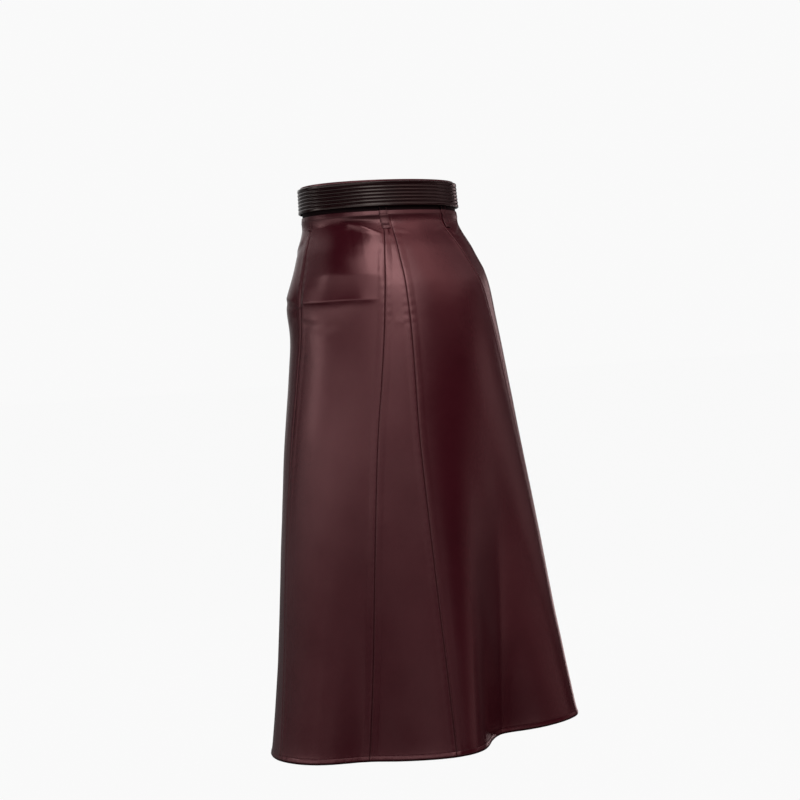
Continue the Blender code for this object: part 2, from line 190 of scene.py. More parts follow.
def skin(turn, drop):
    turn, drop = np.broadcast_arrays(np.asarray(turn, float), np.asarray(drop, float))
    half, front = smooth(DROPS, column("half_width"), drop), smooth(DROPS, column("front_depth"), drop)
    back, sway = smooth(DROPS, column("back_depth"), drop), smooth(DROPS, column("sway"), drop)
    u = np.radians(turn)
    x, c = half * np.sin(u), np.cos(u)
    y = np.where(c > 0, back, front) * c
    grow = np.clip((drop - FLUTE_START) / (CUT_LENGTH - FLUTE_START), 0.0, 1.0)
    out = np.zeros_like(x)
    for f in FLUTES:
        out += f.out * np.exp(-(apart(turn, f.turn) / f.spread) ** 2)
    out *= grow ** FLUTE_POWER
    for e in EASES:
        out += e.out * np.exp(-(apart(turn, e.turn) / e.spread) ** 2) \
            * np.exp(-((drop - e.drop) / e.height) ** 2)
    k = 1.0 + out / np.hypot(x, y)
    return np.stack([x * k + sway, y * k, -drop], -1)


# lengths down the leather against drops, for a fan of meridians
FAN_STEP = 0.25
FAN = np.arange(-180.0, 180.0, FAN_STEP)
FAN_DROPS = np.linspace(0.0, CUT_LENGTH, 161)
_fan = skin(FAN[:, None], FAN_DROPS[None, :])
FAN_LENGTHS = np.concatenate([np.zeros((len(FAN), 1)),
                              np.cumsum(np.linalg.norm(np.diff(_fan, axis=1), axis=2), axis=1)], axis=1)
_fan_flat = (FAN_LENGTHS + np.arange(len(FAN))[:, None] * 2.0).ravel()


def drop_on(k, down):
    shape = down.shape
    k, d = k.ravel(), down.ravel()
    q = np.clip(d, 0.0, FAN_LENGTHS[k, -1] - 1e-9) + k * 2.0
    j = np.searchsorted(_fan_flat, q, side="right") - 1
    c = np.clip(j - k * len(FAN_DROPS), 0, len(FAN_DROPS) - 2)
    l0, l1 = FAN_LENGTHS[k, c], FAN_LENGTHS[k, c + 1]
    t = (d - l0) / (l1 - l0)
    drop = FAN_DROPS[c] + t * (FAN_DROPS[1] - FAN_DROPS[0])
    return np.where(d <= 0.0, d, drop).reshape(shape)


def at(turn, down):
    turn, down = np.broadcast_arrays(np.asarray(turn, float), np.asarray(down, float))
    f = ((turn + 180.0) % 360.0) / FAN_STEP
    k = np.floor(f).astype(int)
    t, n = f - k, len(FAN)
    a, b = drop_on(k % n, down), drop_on((k + 1) % n, down)
    return skin(turn, a + (b - a) * t)


def outward(turn, down):
    turn, down = np.broadcast_arrays(np.asarray(turn, float), np.asarray(down, float))
    e, s = 0.4, 0.002
    low, high = np.maximum(down - s, 0.0), np.minimum(down + s, CUT_LENGTH)
    across = at(turn + e, down) - at(turn - e, down)
    along = at(turn, high) - at(turn, low)
    n = np.cross(along, across)
    n /= np.linalg.norm(n, axis=-1)[..., None]
    p = at(turn, down)
    side = np.sign(n[..., 0] * p[..., 0] + n[..., 1] * p[..., 1])
    return n * side[..., None]


def laid(turn, down, out):
    return at(turn, down) + outward(turn, down) * np.asarray(out, float)[..., None]


def seam_turn(name, down):
    s = SEAMS[name]
    return smooth(SEAM_DOWN, (s.waist, s.hip, s.thigh, s.knee, s.hem), down)


def per_degree(turn, down):
    """Metres along the leather that one degree of turn spans."""
    return np.linalg.norm(at(np.asarray(turn) + 0.5, down) - at(np.asarray(turn) - 0.5, down), axis=-1)


# ------------------------------------------------------------- mesh building
def make_mesh(name, points, quads, tris=None, materials=(), face_material=None, values=None):
    points = np.asarray(points, np.float32).reshape(-1, 3)
    quads = np.asarray(quads, np.int32).reshape(-1, 4)
    tris = np.zeros((0, 3), np.int32) if tris is None else np.asarray(tris, np.int32).reshape(-1, 3)
    mesh = bpy.data.meshes.new(name)
    mesh.vertices.add(len(points))
    mesh.vertices.foreach_set("co", points.ravel())
    loops = np.concatenate([quads.ravel(), tris.ravel()])
    mesh.loops.add(len(loops))
    mesh.loops.foreach_set("vertex_index", loops)
    starts = np.concatenate([np.arange(len(quads)) * 4, len(quads) * 4 + np.arange(len(tris)) * 3])
    mesh.polygons.add(len(starts))
    mesh.polygons.foreach_set("loop_start", starts.astype(np.int32))
    for m in materials:
        mesh.materials.append(m)
    if face_material is not None:
        mesh.polygons.foreach_set("material_index", np.asarray(face_material, np.int32))
    mesh.update(calc_edges=True)
    mesh.validate()
    for key, value in (values or {}).items():
        attribute = mesh.attributes.new(key, 'FLOAT', 'POINT')
        attribute.data.foreach_set("value", np.asarray(value, np.float32).ravel())
    mesh.shade_smooth()
    obj = bpy.data.objects.new(name, mesh)
    bpy.context.scene.collection.objects.link(obj)
    return obj


def shell(name, outer, inner, materials, outer_material=0, inner_material=1, edge_material=0,
          ring=False, values=None):
    """A closed thin shell between two grids of points (rows, columns, 3)."""
    rows, cols = outer.shape[:2]
    shift = rows * cols
    r, c = np.meshgrid(np.arange(rows - 1), np.arange(cols if ring else cols - 1), indexing="ij")
    r, c = r.ravel(), c.ravel()
    d = (c + 1) % cols
    o = np.stack([r * cols + c, r * cols + d, (r + 1) * cols + d, (r + 1) * cols + c], 1)
    quads, kinds = [o, o[:, ::-1] + shift], [np.full(len(o), outer_material), np.full(len(o), inner_material)]
    c = np.arange(cols if ring else cols - 1)
    d = (c + 1) % cols
    last = (rows - 1) * cols
    quads.append(np.stack([c, c + shift, d + shift, d], 1))
    quads.append(np.stack([last + c, last + d, last + d + shift, last + c + shift], 1))
    kinds += [np.full(len(c), edge_material)] * 2
    if not ring:
        r = np.arange(rows - 1)
        quads.append(np.stack([r * cols, (r + 1) * cols, (r + 1) * cols + shift, r * cols + shift], 1))
        e = r * cols + cols - 1
        quads.append(np.stack([e, e + shift, e + cols + shift, e + cols], 1))
        kinds += [np.full(len(r), edge_material)] * 2
    points = np.concatenate([outer.reshape(-1, 3), inner.reshape(-1, 3)])
    quads = np.concatenate(quads)
    # faces point outwards whichever way round the grid was given
    p = points[o[len(o) // 2]]
    n = np.cross(p[1] - p[0], p[3] - p[0])
    if n @ (outer[rows // 2, cols // 2] - inner[rows // 2, cols // 2]) < 0:
        quads = quads[:, ::-1]
    doubled = {k: np.concatenate([np.ravel(v[0]), np.ravel(v[1])]) for k, v in (values or {}).items()}
    return make_mesh(name, points, quads, materials=materials, face_material=np.concatenate(kinds), values=doubled)


def tube(name, grid, materials, cap=True, closed=False, values=None):
    """A surface through rings of points (stations, points round, 3), capped or closed on itself."""
    n, k = grid.shape[:2]
    s, j = np.meshgrid(np.arange(n if closed else n - 1), np.arange(k), indexing="ij")
    s, j = s.ravel(), j.ravel()
    t, m = (s + 1) % n, (j + 1) % k
    quads = np.stack([s * k + j, s * k + m, t * k + m, t * k + j], 1)
    points, tris = grid.reshape(-1, 3), np.zeros((0, 3), int)
    extra = {key: np.ravel(v) for key, v in (values or {}).items()}
    if cap and not closed:
        centres = np.stack([grid[0].mean(0), grid[-1].mean(0)])
        points = np.concatenate([points, centres])
        j = np.arange(k)
        m = (j + 1) % k
        tris = np.concatenate([np.stack([m, j, np.full(k, n * k)], 1),
                               np.stack([(n - 1) * k + j, (n - 1) * k + m, np.full(k, n * k + 1)], 1)])
        extra = {key: np.concatenate([v, [v[0], v[-1]]]) for key, v in extra.items()}
    obj = make_mesh(name, points, quads, tris, materials, values=extra)
    turn_out(obj)
    return obj


def turn_out(obj):
    """Turns a closed mesh's faces outwards, by the sign of its volume."""
    mesh = obj.data
    mesh.calc_loop_triangles()
    tri = np.zeros(len(mesh.loop_triangles) * 3, np.int32)
    mesh.loop_triangles.foreach_get("vertices", tri)
    co = np.zeros(len(mesh.vertices) * 3, np.float32)
    mesh.vertices.foreach_get("co", co)
    t = co.reshape(-1, 3)[tri.reshape(-1, 3)].astype(float)
    t -= t.mean((0, 1))
    if np.einsum("ij,ij->i", t[:, 0], np.cross(t[:, 1], t[:, 2])).sum() < 0:
        mesh.flip_normals()


def stitches(name, starts, ends, outs, radius, material, sides=6):
    """Sewn stitches: short, slightly arched lengths of thread from starts to ends."""
    starts, ends, outs = (np.asarray(a, float) for a in (starts, ends, outs))
    n = len(starts)
    way = ends - starts
    length = np.linalg.norm(way, axis=1)[:, None]
    way = way / length
    outs = outs - way * np.einsum("ij,ij->i", outs, way)[:, None]
    outs /= np.linalg.norm(outs, axis=1)[:, None]
    side = np.cross(way, outs)
    along = np.array([0.0, 0.10, 0.30, 0.50, 0.70, 0.90, 1.0])
    thick = np.array([0.25, 0.80, 1.0, 1.02, 1.0, 0.80, 0.25])
    arch = np.array([-1.1, -0.45, 0.15, 0.30, 0.15, -0.45, -1.1])
    k = len(along)
    a = 2 * np.pi * np.arange(sides) / sides
    ring = radius * thick[:, None, None] * np.stack([np.cos(a), np.sin(a)], -1)[None]
    centre = starts[:, None] + way[:, None] * length[:, None] * along[None, :, None] \
        + outs[:, None] * (radius * arch)[None, :, None]
    points = centre[:, :, None] + outs[:, None, None] * ring[None, :, :, 0:1] \
        + side[:, None, None] * ring[None, :, :, 1:2]
    s, j = np.meshgrid(np.arange(k - 1), np.arange(sides), indexing="ij")
    s, j = s.ravel(), j.ravel()
    m = (j + 1) % sides
    quad = np.stack([s * sides + j, s * sides + m, (s + 1) * sides + m, (s + 1) * sides + j], 1)
    j = np.arange(1, sides - 1)
    first = np.stack([np.zeros_like(j), j + 1, j], 1)
    last = np.stack([np.zeros_like(j), j, j + 1], 1) + (k - 1) * sides
    shift = (np.arange(n) * k * sides)[:, None, None]
    obj = make_mesh(name, points.reshape(-1, 3), (quad[None] + shift).reshape(-1, 4),
                    (np.concatenate([first, last])[None] + shift).reshape(-1, 3), [material])
    turn_out(obj)
    return obj


def run_stitches(places, pitch=STITCH_PITCH, length=STITCH, start=0.0):
    """Starts and ends of stitches along a line of points, given every few tenths of a millimetre."""
    places = np.asarray(places, float)
    s = np.concatenate([[0.0], np.cumsum(np.linalg.norm(np.diff(places, axis=0), axis=1))])
    count = int((s[-1] - start - length) / pitch)
    a = start + pitch * np.arange(max(count, 0) + 1)
    a = a[a + length < s[-1]]

    def point(v):
        return np.stack([np.interp(v, s, places[:, i]) for i in range(3)], 1)

    return point(a), point(a + length), a / s[-1]


def finish_piece(obj, nodes=()):
    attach(obj, "root")
    if nodes:
        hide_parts(*nodes)
    return obj


# ------------------------------------------------------------------ materials
class Graph:
    """Short hand for a material's nodes."""

    def __init__(self, name):
        self.material = bpy.data.materials.new(name)
        self.material.use_nodes = True
        self.tree = self.material.node_tree
        self.shader = self.tree.nodes["Principled BSDF"]

    def node(self, kind, inputs=(), **settings):
        n = self.tree.nodes.new(kind)
        for key, value in settings.items():
            setattr(n, key, value)
        for key, value in dict(inputs).items():
            self.put(n.inputs[key], value)
        return n

    def put(self, socket, value):
        if hasattr(value, "is_output"):
            self.tree.links.new(value, socket)
        else:
            socket.default_value = value

    def math(self, operation, a, b=None, c=None, clamp=False):
        n = self.node("ShaderNodeMath", operation=operation, use_clamp=clamp)
        for i, v in enumerate((a, b, c)):
            if v is not None:
                self.put(n.inputs[i], v)
        return n.outputs[0]

    def mix(self, factor, a, b, blend="MIX"):
        n = self.node("ShaderNodeMix", data_type="RGBA", blend_type=blend)
        self.put(n.inputs[0], factor)
        self.put(n.inputs[6], a)
        self.put(n.inputs[7], b)
        return n.outputs[2]

    def span(self, value, low, high, to_low=0.0, to_high=1.0):
        n = self.node("ShaderNodeMapRange", interpolation_type="SMOOTHSTEP")
        for i, v in enumerate((value, low, high, to_low, to_high)):
            self.put(n.inputs[i], v)
        return n.outputs[0]

    def noise(self, vector, scale, detail=3.0, roughness=0.55, distortion=0.0):
        n = self.node("ShaderNodeTexNoise", {"Vector": vector, "Scale": scale, "Detail": detail,
                                             "Roughness": roughness, "Distortion": distortion})
        return n.outputs[0]

    def attribute(self, name):
        return self.node("ShaderNodeAttribute", attribute_name=name, attribute_type="GEOMETRY").outputs["Fac"]

    def bump(self, height, strength, distance, normal=None):
        n = self.node("ShaderNodeBump", {"Strength": strength, "Distance": distance, "Height": height})
        if normal is not None:
            self.tree.links.new(normal, n.inputs["Normal"])
        return n.outputs[0]


def rgba(r, g, b):
    return (r, g, b, 1.0)


def leather_material(name, deep, mid, high, rough, grain=1.0, coat=0.25, coat_rough=0.22, gloss=0.5,
                     ior=1.5, sheen_colour=(1.0, 1.0, 1.0)):
    g = Graph(name)
    where = g.node("ShaderNodeTexCoord").outputs["Object"]
    broad = g.noise(where, 7.0, 2.0, 0.5, 0.4)
    mottle = g.noise(where, 70.0, 4.0, 0.6, 0.2)
    fine = g.noise(where, 420.0, 2.0, 0.5)
    pebble = g.node("ShaderNodeTexVoronoi", {"Vector": where, "Scale": 850.0, "Randomness": 0.9},
                    feature="DISTANCE_TO_EDGE")
    pore = g.noise(where, 1900.0, 1.0, 0.5)
    shade_and_edge_paint, wear = g.attribute("shade_and_edge_paint"), g.attribute("wear")
    # colour: depth of dye varies, rubbed ridges a little lighter; painted shade darkens grooves, hollows and the
    # leather under the band and belt, and the belt's edges are darkened by their paint
    tone = g.math("ADD", g.span(broad, 0.28, 0.72, 0.0, 0.8), g.span(mottle, 0.3, 0.7, 0.0, 0.2))
    colour = g.mix(tone, rgba(*deep), rgba(*mid))
    colour = g.mix(g.math("MULTIPLY", wear, 0.55, clamp=True), colour, rgba(*high))
    # painted shade, and the belt's dark edge paint: towards a third of the deep colour
    colour = g.mix(g.math("MULTIPLY", shade_and_edge_paint, 0.80, clamp=True), colour,
                   rgba(*(v * 0.30 for v in deep)))
    cell = g.span(pebble.outputs["Distance"], 0.0, 0.10, 0.0, 1.0)
    colour = g.mix(g.math("SUBTRACT", 1.0, cell, clamp=True), colour,
                   g.mix(0.22, colour, rgba(*(v * 0.35 for v in deep))))
    g.put(g.shader.inputs["Base Color"], colour)
    r = g.math("ADD", rough - 0.025, g.span(mottle, 0.25, 0.75, 0.0, 0.02))
    r = g.math("ADD", r, g.span(fine, 0.3, 0.7, 0.0, 0.02))
    r = g.math("SUBTRACT", r, g.math("MULTIPLY", wear, 0.05))
    r = g.math("ADD", r, g.math("MULTIPLY", shade_and_edge_paint, 0.18), clamp=True)
    g.put(g.shader.inputs["Roughness"], r)
    height = g.math("ADD", g.math("MULTIPLY", cell, 0.8), g.math("MULTIPLY", pore, 0.25))
    first = g.bump(mottle, 0.035 * grain, 0.0012)
    g.put(g.shader.inputs["Normal"], g.bump(height, 0.20 * grain, 0.00010, first))
    g.shader.inputs["Coat Weight"].default_value = coat
    g.shader.inputs["Coat Roughness"].default_value = coat_rough
    g.shader.inputs["Specular IOR Level"].default_value = gloss
    g.shader.inputs["Specular Tint"].default_value = rgba(*sheen_colour)
    g.shader.inputs["IOR"].default_value = ior
    g.material.diffuse_color = rgba(*mid)
    return g.material


def backing_material():
    """The knitted backing on the flesh side of the leather."""
    g = Graph("leather_backing")
    where = g.node("ShaderNodeTexCoord").outputs["Object"]
    a = g.node("ShaderNodeTexWave", {"Vector": where, "Scale": 260.0, "Distortion": 1.2, "Detail": 1.0},
               wave_type="BANDS", bands_direction="Z").outputs["Fac"]
    b = g.node("ShaderNodeTexWave", {"Vector": where, "Scale": 260.0, "Distortion": 1.2, "Detail": 1.0},
               wave_type="BANDS", bands_direction="DIAGONAL").outputs["Fac"]
    knit = g.math("MULTIPLY", a, b)
    fuzz = g.noise(where, 160.0, 4.0, 0.6)
    tone = g.math("ADD", g.math("MULTIPLY", knit, 0.5), g.math("MULTIPLY", fuzz, 0.5), clamp=True)
    g.put(g.shader.inputs["Base Color"], g.mix(tone, rgba(0.020, 0.008, 0.011), rgba(0.055, 0.022, 0.028)))
    g.put(g.shader.inputs["Roughness"], g.span(fuzz, 0.2, 0.8, 0.78, 0.95))
    g.put(g.shader.inputs["Normal"], g.bump(knit, 0.35, 0.0003))
    g.shader.inputs["Sheen Weight"].default_value = 0.25
    g.shader.inputs["Sheen Roughness"].default_value = 0.5
    return g.material


def thread_material(name, colour):
    g = Graph(name)
    where = g.node("ShaderNodeTexCoord").outputs["Object"]
    twist = g.node("ShaderNodeTexWave", {"Vector": where, "Scale": 900.0, "Distortion": 2.0},
                   wave_type="BANDS", bands_direction="DIAGONAL").outputs["Fac"]
    vary = g.noise(where, 60.0, 2.0)
    dark = tuple(v * 0.55 for v in colour)
    g.put(g.shader.inputs["Base Color"],
          g.mix(g.math("MULTIPLY", twist, vary, clamp=True), rgba(*colour), rgba(*dark)))
    g.put(g.shader.inputs["Roughness"], g.span(vary, 0.2, 0.8, 0.45, 0.62))
    g.put(g.shader.inputs["Normal"], g.bump(twist, 0.3, 0.0001))
    return g.material


def metal_material():
    """Satin dark nickel, brushed along its wire, with fine hair scratches."""
    g = Graph("buckle_metal")
    where = g.node("ShaderNodeTexCoord").outputs["Object"]
    stretched = g.node("ShaderNodeMapping", {"Vector": where, "Scale": (60.0, 60.0, 2600.0)}).outputs[0]
    hair = g.noise(stretched, 1.0, 3.0, 0.6)
    cloud = g.noise(where, 120.0, 3.0)
    g.put(g.shader.inputs["Base Color"], g.mix(g.span(cloud, 0.3, 0.7), rgba(0.30, 0.27, 0.245), rgba(0.40, 0.365, 0.33)))
    g.put(g.shader.inputs["Roughness"], g.math("ADD", g.span(hair, 0.3, 0.7, 0.20, 0.34), g.math("MULTIPLY", cloud, 0.06)))
    g.put(g.shader.inputs["Normal"], g.bump(hair, 0.12, 0.0001))
    g.shader.inputs["Metallic"].default_value = 1.0
    return g.material


def floor_material():
    g = Graph("pale_floor")
    where = g.node("ShaderNodeTexCoord").outputs["Object"]
    vary = g.noise(where, 0.6, 2.0)
    g.put(g.shader.inputs["Base Color"], g.mix(vary, rgba(0.012, 0.012, 0.012), rgba(0.016, 0.016, 0.016)))
    g.put(g.shader.inputs["Emission Color"], rgba(0.945, 0.945, 0.945))
    g.shader.inputs["Emission Strength"].default_value = 1.0
    g.shader.inputs["Roughness"].default_value = 0.9
    g.shader.inputs["Specular IOR Level"].default_value = 0.0
    return g.material


LEATHER = leather_material("skirt_leather", (0.079, 0.0074, 0.0152), (0.096, 0.0092, 0.0186),
                           (0.125, 0.0145, 0.0265), rough=0.25, coat=0.05, coat_rough=0.18, gloss=1.0,
                           ior=1.6, sheen_colour=(1.0, 0.49, 0.50))
BELT_LEATHER = leather_material("belt_leather", (0.016, 0.0030, 0.0044), (0.022, 0.0040, 0.0058),
                                (0.036, 0.0080, 0.0105), rough=0.18, grain=0.5, coat=0.0, gloss=0.60,
                                sheen_colour=(1.0, 0.86, 0.80))
CREVICE = leather_material("shaded_leather", (0.012, 0.0022, 0.0034), (0.016, 0.0028, 0.0042),
                           (0.020, 0.0040, 0.0058), rough=0.62, grain=0.5, coat=0.0, gloss=0.12)
BACKING = backing_material()
THREAD_MATERIAL = thread_material("sewing_thread", (0.165, 0.034, 0.045))
BELT_THREAD = thread_material("belt_thread", (0.085, 0.020, 0.027))
METAL = metal_material()


# ---------------------------------------------------------- relief of a panel
def ripple(points, waves):
    """A sum of fixed sine waves through space, -1 to 1."""
    total = np.zeros(points.shape[:-1])
    for kx, ky, kz, phase in waves:
        total += np.sin(points[..., 0] * kx + points[..., 1] * ky + points[..., 2] * kz + phase)
    return total / len(waves)


SOFT_WAVES = ((95, 60, 21, 0.4), (-52, 88, 34, 1.9), (38, -71, 62, 3.1), (120, 15, -40, 4.4), (-20, 44, 95, 5.2))
FINE_WAVES = ((310, 190, 90, 0.7), (-240, 280, 120, 2.2), (150, -330, 210, 3.9), (90, 120, -380, 5.0))


def seam_relief(s, allowance=0.0095):
    """Height of the leather at a distance s from its sewn edge."""
    r, deep = 0.0014, 0.00080
    t = np.clip(1.0 - s / r, 0.0, 1.0)
    roll = -deep * (1.0 - np.sqrt(np.clip(1.0 - t * t, 0.0, 1.0)))
    puffed = 0.00012 * np.exp(-((s - 0.0034) / 0.0018) ** 2)
    pressed = 0.00030 * (1.0 - step(allowance - 0.0035, allowance + 0.0015, s))
    return roll + puffed + pressed


def hem_relief(e, along):
    """Height at a distance e above the hem edge; along is the distance round the hem."""
    r = 0.0032
    t = np.clip(1.0 - e / r, 0.0, 1.0)
    roll = -0.00190 * (1.0 - np.sqrt(np.clip(1.0 - t * t, 0.0, 1.0)))
    wave = 0.85 + 0.15 * np.sin(along * 430.0) * np.sin(along * 171.0 + 0.8)
    wave = wave * (1.0 - 0.75 * np.exp(-((along - 0.003) / 0.026) ** 2))     # pulled flat in the hollow of the hem
    ramp = np.clip((HEM_FOLD - 0.0003 - e) / 0.0044, 0.0, 1.0)
    fold = 0.00080 * wave * (0.82 * ramp + 0.18 * np.sin(ramp * np.pi / 2))
    groove = -0.00012 * np.exp(-((e - HEM_FOLD) / 0.00070) ** 2)
    above = 0.00065 * wave * np.exp(-np.maximum(e - HEM_FOLD, 0.0) / 0.0060)
    pucker = 0.00009 * np.sin(along * 1150.0) * np.exp(-((e - HEM_FOLD) / 0.0045) ** 2)
    return roll + fold + groove + above + pucker


def top_relief(e):
    """The top of a panel stands out over the allowances of the waist seam."""
    t = np.clip(1.0 - e / 0.0120, 0.0, 1.0)
    return 0.0017 * t ** 1.4


# Creases: lines on the leather from one place to another. rise is the height of the
# crest, above and below the reach of its two flanks, round the rounding of its top.
# A trough of the given depth runs beside it, at a distance to its lower side. fade0
# and fade1 are the shares of its length over which its ends run out, bow its sag.
Crease = namedtuple("Crease", "turn0 down0 turn1 down1 bow rise above below round trough at wide fade0 fade1")
CREASES = {
    "side_back_left_panel": (
        # the pull under the belt: its thin crest runs into the gore seam, its trough dies before it
        Crease(56.0, 0.0575, 28.5, 0.0818, -0.0006, 0.0008, 0.0020, 0.0022, 0.0003, 0.0, 0.0, 0.01, 0.20, 0.0),
        Crease(51.0, 0.0545, 38.0, 0.0632, 0.0003, 0.0003, 0.0014, 0.0012, 0.0003, 0.0, 0.0, 0.01, 0.25, 0.45),
        # a soft dip between two bright bands
        Crease(62.0, 0.0985, 30.0, 0.1040, 0.0004, -0.0005, 0.0055, 0.0055, 0.0036, 0.0, 0.0, 0.01, 0.35, 0.15),
        # the break of the hip
        Crease(80.0, 0.1310, 31.0, 0.1408, 0.0, 0.0011, 0.0170, 0.0110, 0.0030, 0.0, 0.0, 0.01, 0.35, 0.10),
        # the ridge from the end of the pocket to the gore seam, its trough deepest in the middle
        Crease(92.0, 0.1674, 35.5, 0.1754, -0.0006, 0.0029, 0.0240, 0.0066, 0.0006, 0.0, 0.0, 0.01, 0.15, 0.25),
        Crease(83.0, 0.2060, 60.0, 0.2010, 0.0010, 0.0003, 0.0120, 0.0070, 0.0030, 0.0002, 0.0100, 0.0070, 0.3, 0.4),
        Crease(90.0, 0.1860, 70.0, 0.1960, 0.0012, 0.0005, 0.0080, 0.0050, 0.0020, 0.0003, 0.0070, 0.0050, 0.0, 0.5),
    ),
    "back_left_gore": (
        Crease(33.5, 0.2050, 26.0, 0.2110, 0.0, 0.0002, 0.0060, 0.0050, 0.0020, 0.0, 0.0, 0.01, 0.3, 0.3),
    ),
    "centre_back_panel": (
        Crease(22.0, 0.0700, 10.0, 0.0760, 0.0008, 0.0003, 0.0040, 0.0028, 0.0010, 0.0002, 0.0050, 0.0030, 0.05, 0.5),
        Crease(-20.0, 0.0640, -8.0, 0.0730, 0.0008, 0.0004, 0.0050, 0.0030, 0.0010, 0.0002, 0.0050, 0.0035, 0.05, 0.5),
        # the edge of the seam allowance, pulled up beside the right back seam
        Crease(-21.6, 0.0800, -26.0, 0.1240, 0.0, 0.0007, 0.0014, 0.0014, 0.0004, 0.0, 0.0, 0.01, 0.25, 0.35),
    ),
    "side_back_right_panel": (
        Crease(-28.0, 0.0800, -54.0, 0.0560, 0.0008, 0.0010, 0.0036, 0.0028, 0.0006, 0.0, 0.0, 0.01, 0.05, 0.30),
        Crease(-32.0, 0.0770, -55.0, 0.0550, 0.0008, 0.0, 0.01, 0.01, 0.001, 0.0007, 0.0050, 0.0032, 0.45, 0.25),
        Crease(-40.0, 0.1360, -80.0, 0.1290, 0.0012, 0.0010, 0.0180, 0.0090, 0.0030, 0.0, 0.0, 0.01, 0.3, 0.25),
        Crease(-56.0, 0.1760, -91.0, 0.1670, 0.0012, 0.0011, 0.0110, 0.0036, 0.0012, 0.0009, 0.0064, 0.0050, 0.45, 0.16),
        Crease(-66.0, 0.2080, -92.0, 0.1900, 0.0010, 0.0004, 0.0090, 0.0055, 0.0020, 0.0003, 0.0070, 0.0055, 0.5, 0.2),
    ),
    "front_panel": (
        Crease(-92.0, 0.1670, -131.0, 0.1580, 0.0020, 0.0012, 0.0110, 0.0040, 0.0013, 0.0009, 0.0066, 0.0054, 0.20, 0.45),
        Crease(-93.0, 0.1830, -118.0, 0.1900, 0.0015, 0.0006, 0.0100, 0.0055, 0.0020, 0.0004, 0.0080, 0.0060, 0.2, 0.5),
        Crease(-100.0, 0.0700, -134.0, 0.1010, -0.0020, 0.0010, 0.0100, 0.0050, 0.0020, 0.0005, 0.0080, 0.0060, 0.2, 0.4),
        Crease(-268.0, 0.1670, -232.0, 0.1590, -0.0020, 0.0013, 0.0110, 0.0040, 0.0012, 0.0010, 0.0066, 0.0054, 0.20, 0.45),
        Crease(-268.0, 0.1860, -246.0, 0.1950, -0.0012, 0.0006, 0.0100, 0.0055, 0.0020, 0.0004, 0.0080, 0.0060, 0.2, 0.5),
        Crease(-262.0, 0.0720, -228.0, 0.0980, 0.0020, 0.0011, 0.0100, 0.0050, 0.0020, 0.0005, 0.0080, 0.0060, 0.2, 0.4),
        Crease(-215.0, 0.1210, -176.0, 0.1290, 0.0025, 0.0007, 0.0120, 0.0080, 0.0030, 0.0003, 0.0110, 0.0080, 0.4, 0.5),
        Crease(-150.0, 0.1350, -184.0, 0.1450, 0.0025, 0.0006, 0.0120, 0.0080, 0.0030, 0.0003, 0.0110, 0.0080, 0.4, 0.5),
    ),
}


def crease_height(c, turn, down):
    """Height of one crease over the skin, at places on the leather."""
    middle = (c.turn0 + c.turn1) / 2
    scale = float(per_degree(middle, (c.down0 + c.down1) / 2))
    x, y = (turn - middle) * scale, down
    x0, y0, x1, y1 = (c.turn0 - middle) * scale, c.down0, (c.turn1 - middle) * scale, c.down1
    dx, dy = x1 - x0, y1 - y0
    length = math.hypot(dx, dy)
    t = ((x - x0) * dx + (y - y0) * dy) / length ** 2
    side = 1.0 if dx > 0 else -1.0
    q = side * ((y - y0) * dx - (x - x0) * dy) / length
    q = q - c.bow * 4 * t * (1 - t)
    t = np.clip(t, -0.4, 1.4)
    ends = np.ones_like(t)
    ends *= step(-0.02, max(c.fade0, 0.02), t) if c.fade0 > 0 else 1.0
    ends *= 1 - step(1 - max(c.fade1, 0.02), 1.02, t) if c.fade1 > 0 else 1.0
    reach = np.where(q < 0, c.above, c.below)
    far = np.sqrt(q * q + c.round ** 2) - c.round
    crest = c.rise * np.exp(-far / reach)
    hollow = -c.trough * np.exp(-((q - c.at) / c.wide) ** 2) if c.trough else 0.0
    return (crest + hollow) * ends


def panel_grid(left, right, rows, edge, middle):
    """Turns of the grid's points, and their distances from the panel's two seams."""
    dense = 181
    a, b = seam_turn(left, rows), seam_turn(right, rows)
    turns = a[:, None] + (b - a)[:, None] * np.linspace(0, 1, dense)[None]
    p = at(turns, rows[:, None])
    s = np.concatenate([np.zeros((len(rows), 1)), np.cumsum(np.linalg.norm(np.diff(p, axis=1), axis=2), axis=1)], axis=1)
    width = s[:, -1]
    grid, left_s = [], []
    for k in range(len(rows)):
        scale = min(1.0, 0.42 * width[k] / edge[-1])
        e = SEAM_CLEAR + edge * scale
        inside = np.linspace(e[-1], width[k] - e[-1], middle + 1)[1:-1]
        marks = np.concatenate([e, inside, (width[k] - e)[::-1]])
        grid.append(np.interp(marks, s[k], turns[k]))
        left_s.append(marks)
    left_s = np.array(left_s)
    return np.array(grid), left_s, width[:, None] - left_s


def panel_rows():
    top = BAND_HEIGHT + 0.0002
    first = top + np.array([0.0, 0.0003, 0.0007, 0.0012, 0.0018, 0.0026, 0.0036, 0.0048])
    last = CUT_LENGTH - np.array([0.0140, 0.0127, 0.0117, 0.0110, 0.0103, 0.0097, 0.0092, 0.0087, 0.0083, 0.0080,
                                  0.0077, 0.0074, 0.0071, 0.0067, 0.0062, 0.0056, 0.0049, 0.0041, 0.0033, 0.0026,
                                  0.0020, 0.0015, 0.0011, 0.0008, 0.0005, 0.0003, 0.00015, 0.00005, 0.0])
    fine = 0.0014
    coarse = 0.0038
    upper = np.arange(first[-1] + fine, 0.215, fine)
    lower = np.linspace(upper[-1], last[0], int((last[0] - upper[-1]) / coarse) + 1)[1:-1]
    return np.concatenate([first, upper, lower, last])


EDGE = np.array([0.0, 0.00012, 0.00030, 0.00055, 0.00085, 0.0012, 0.0016, 0.0021, 0.0027, 0.0034,
                 0.0043, 0.0055, 0.0070, 0.0086, 0.0102, 0.0118])

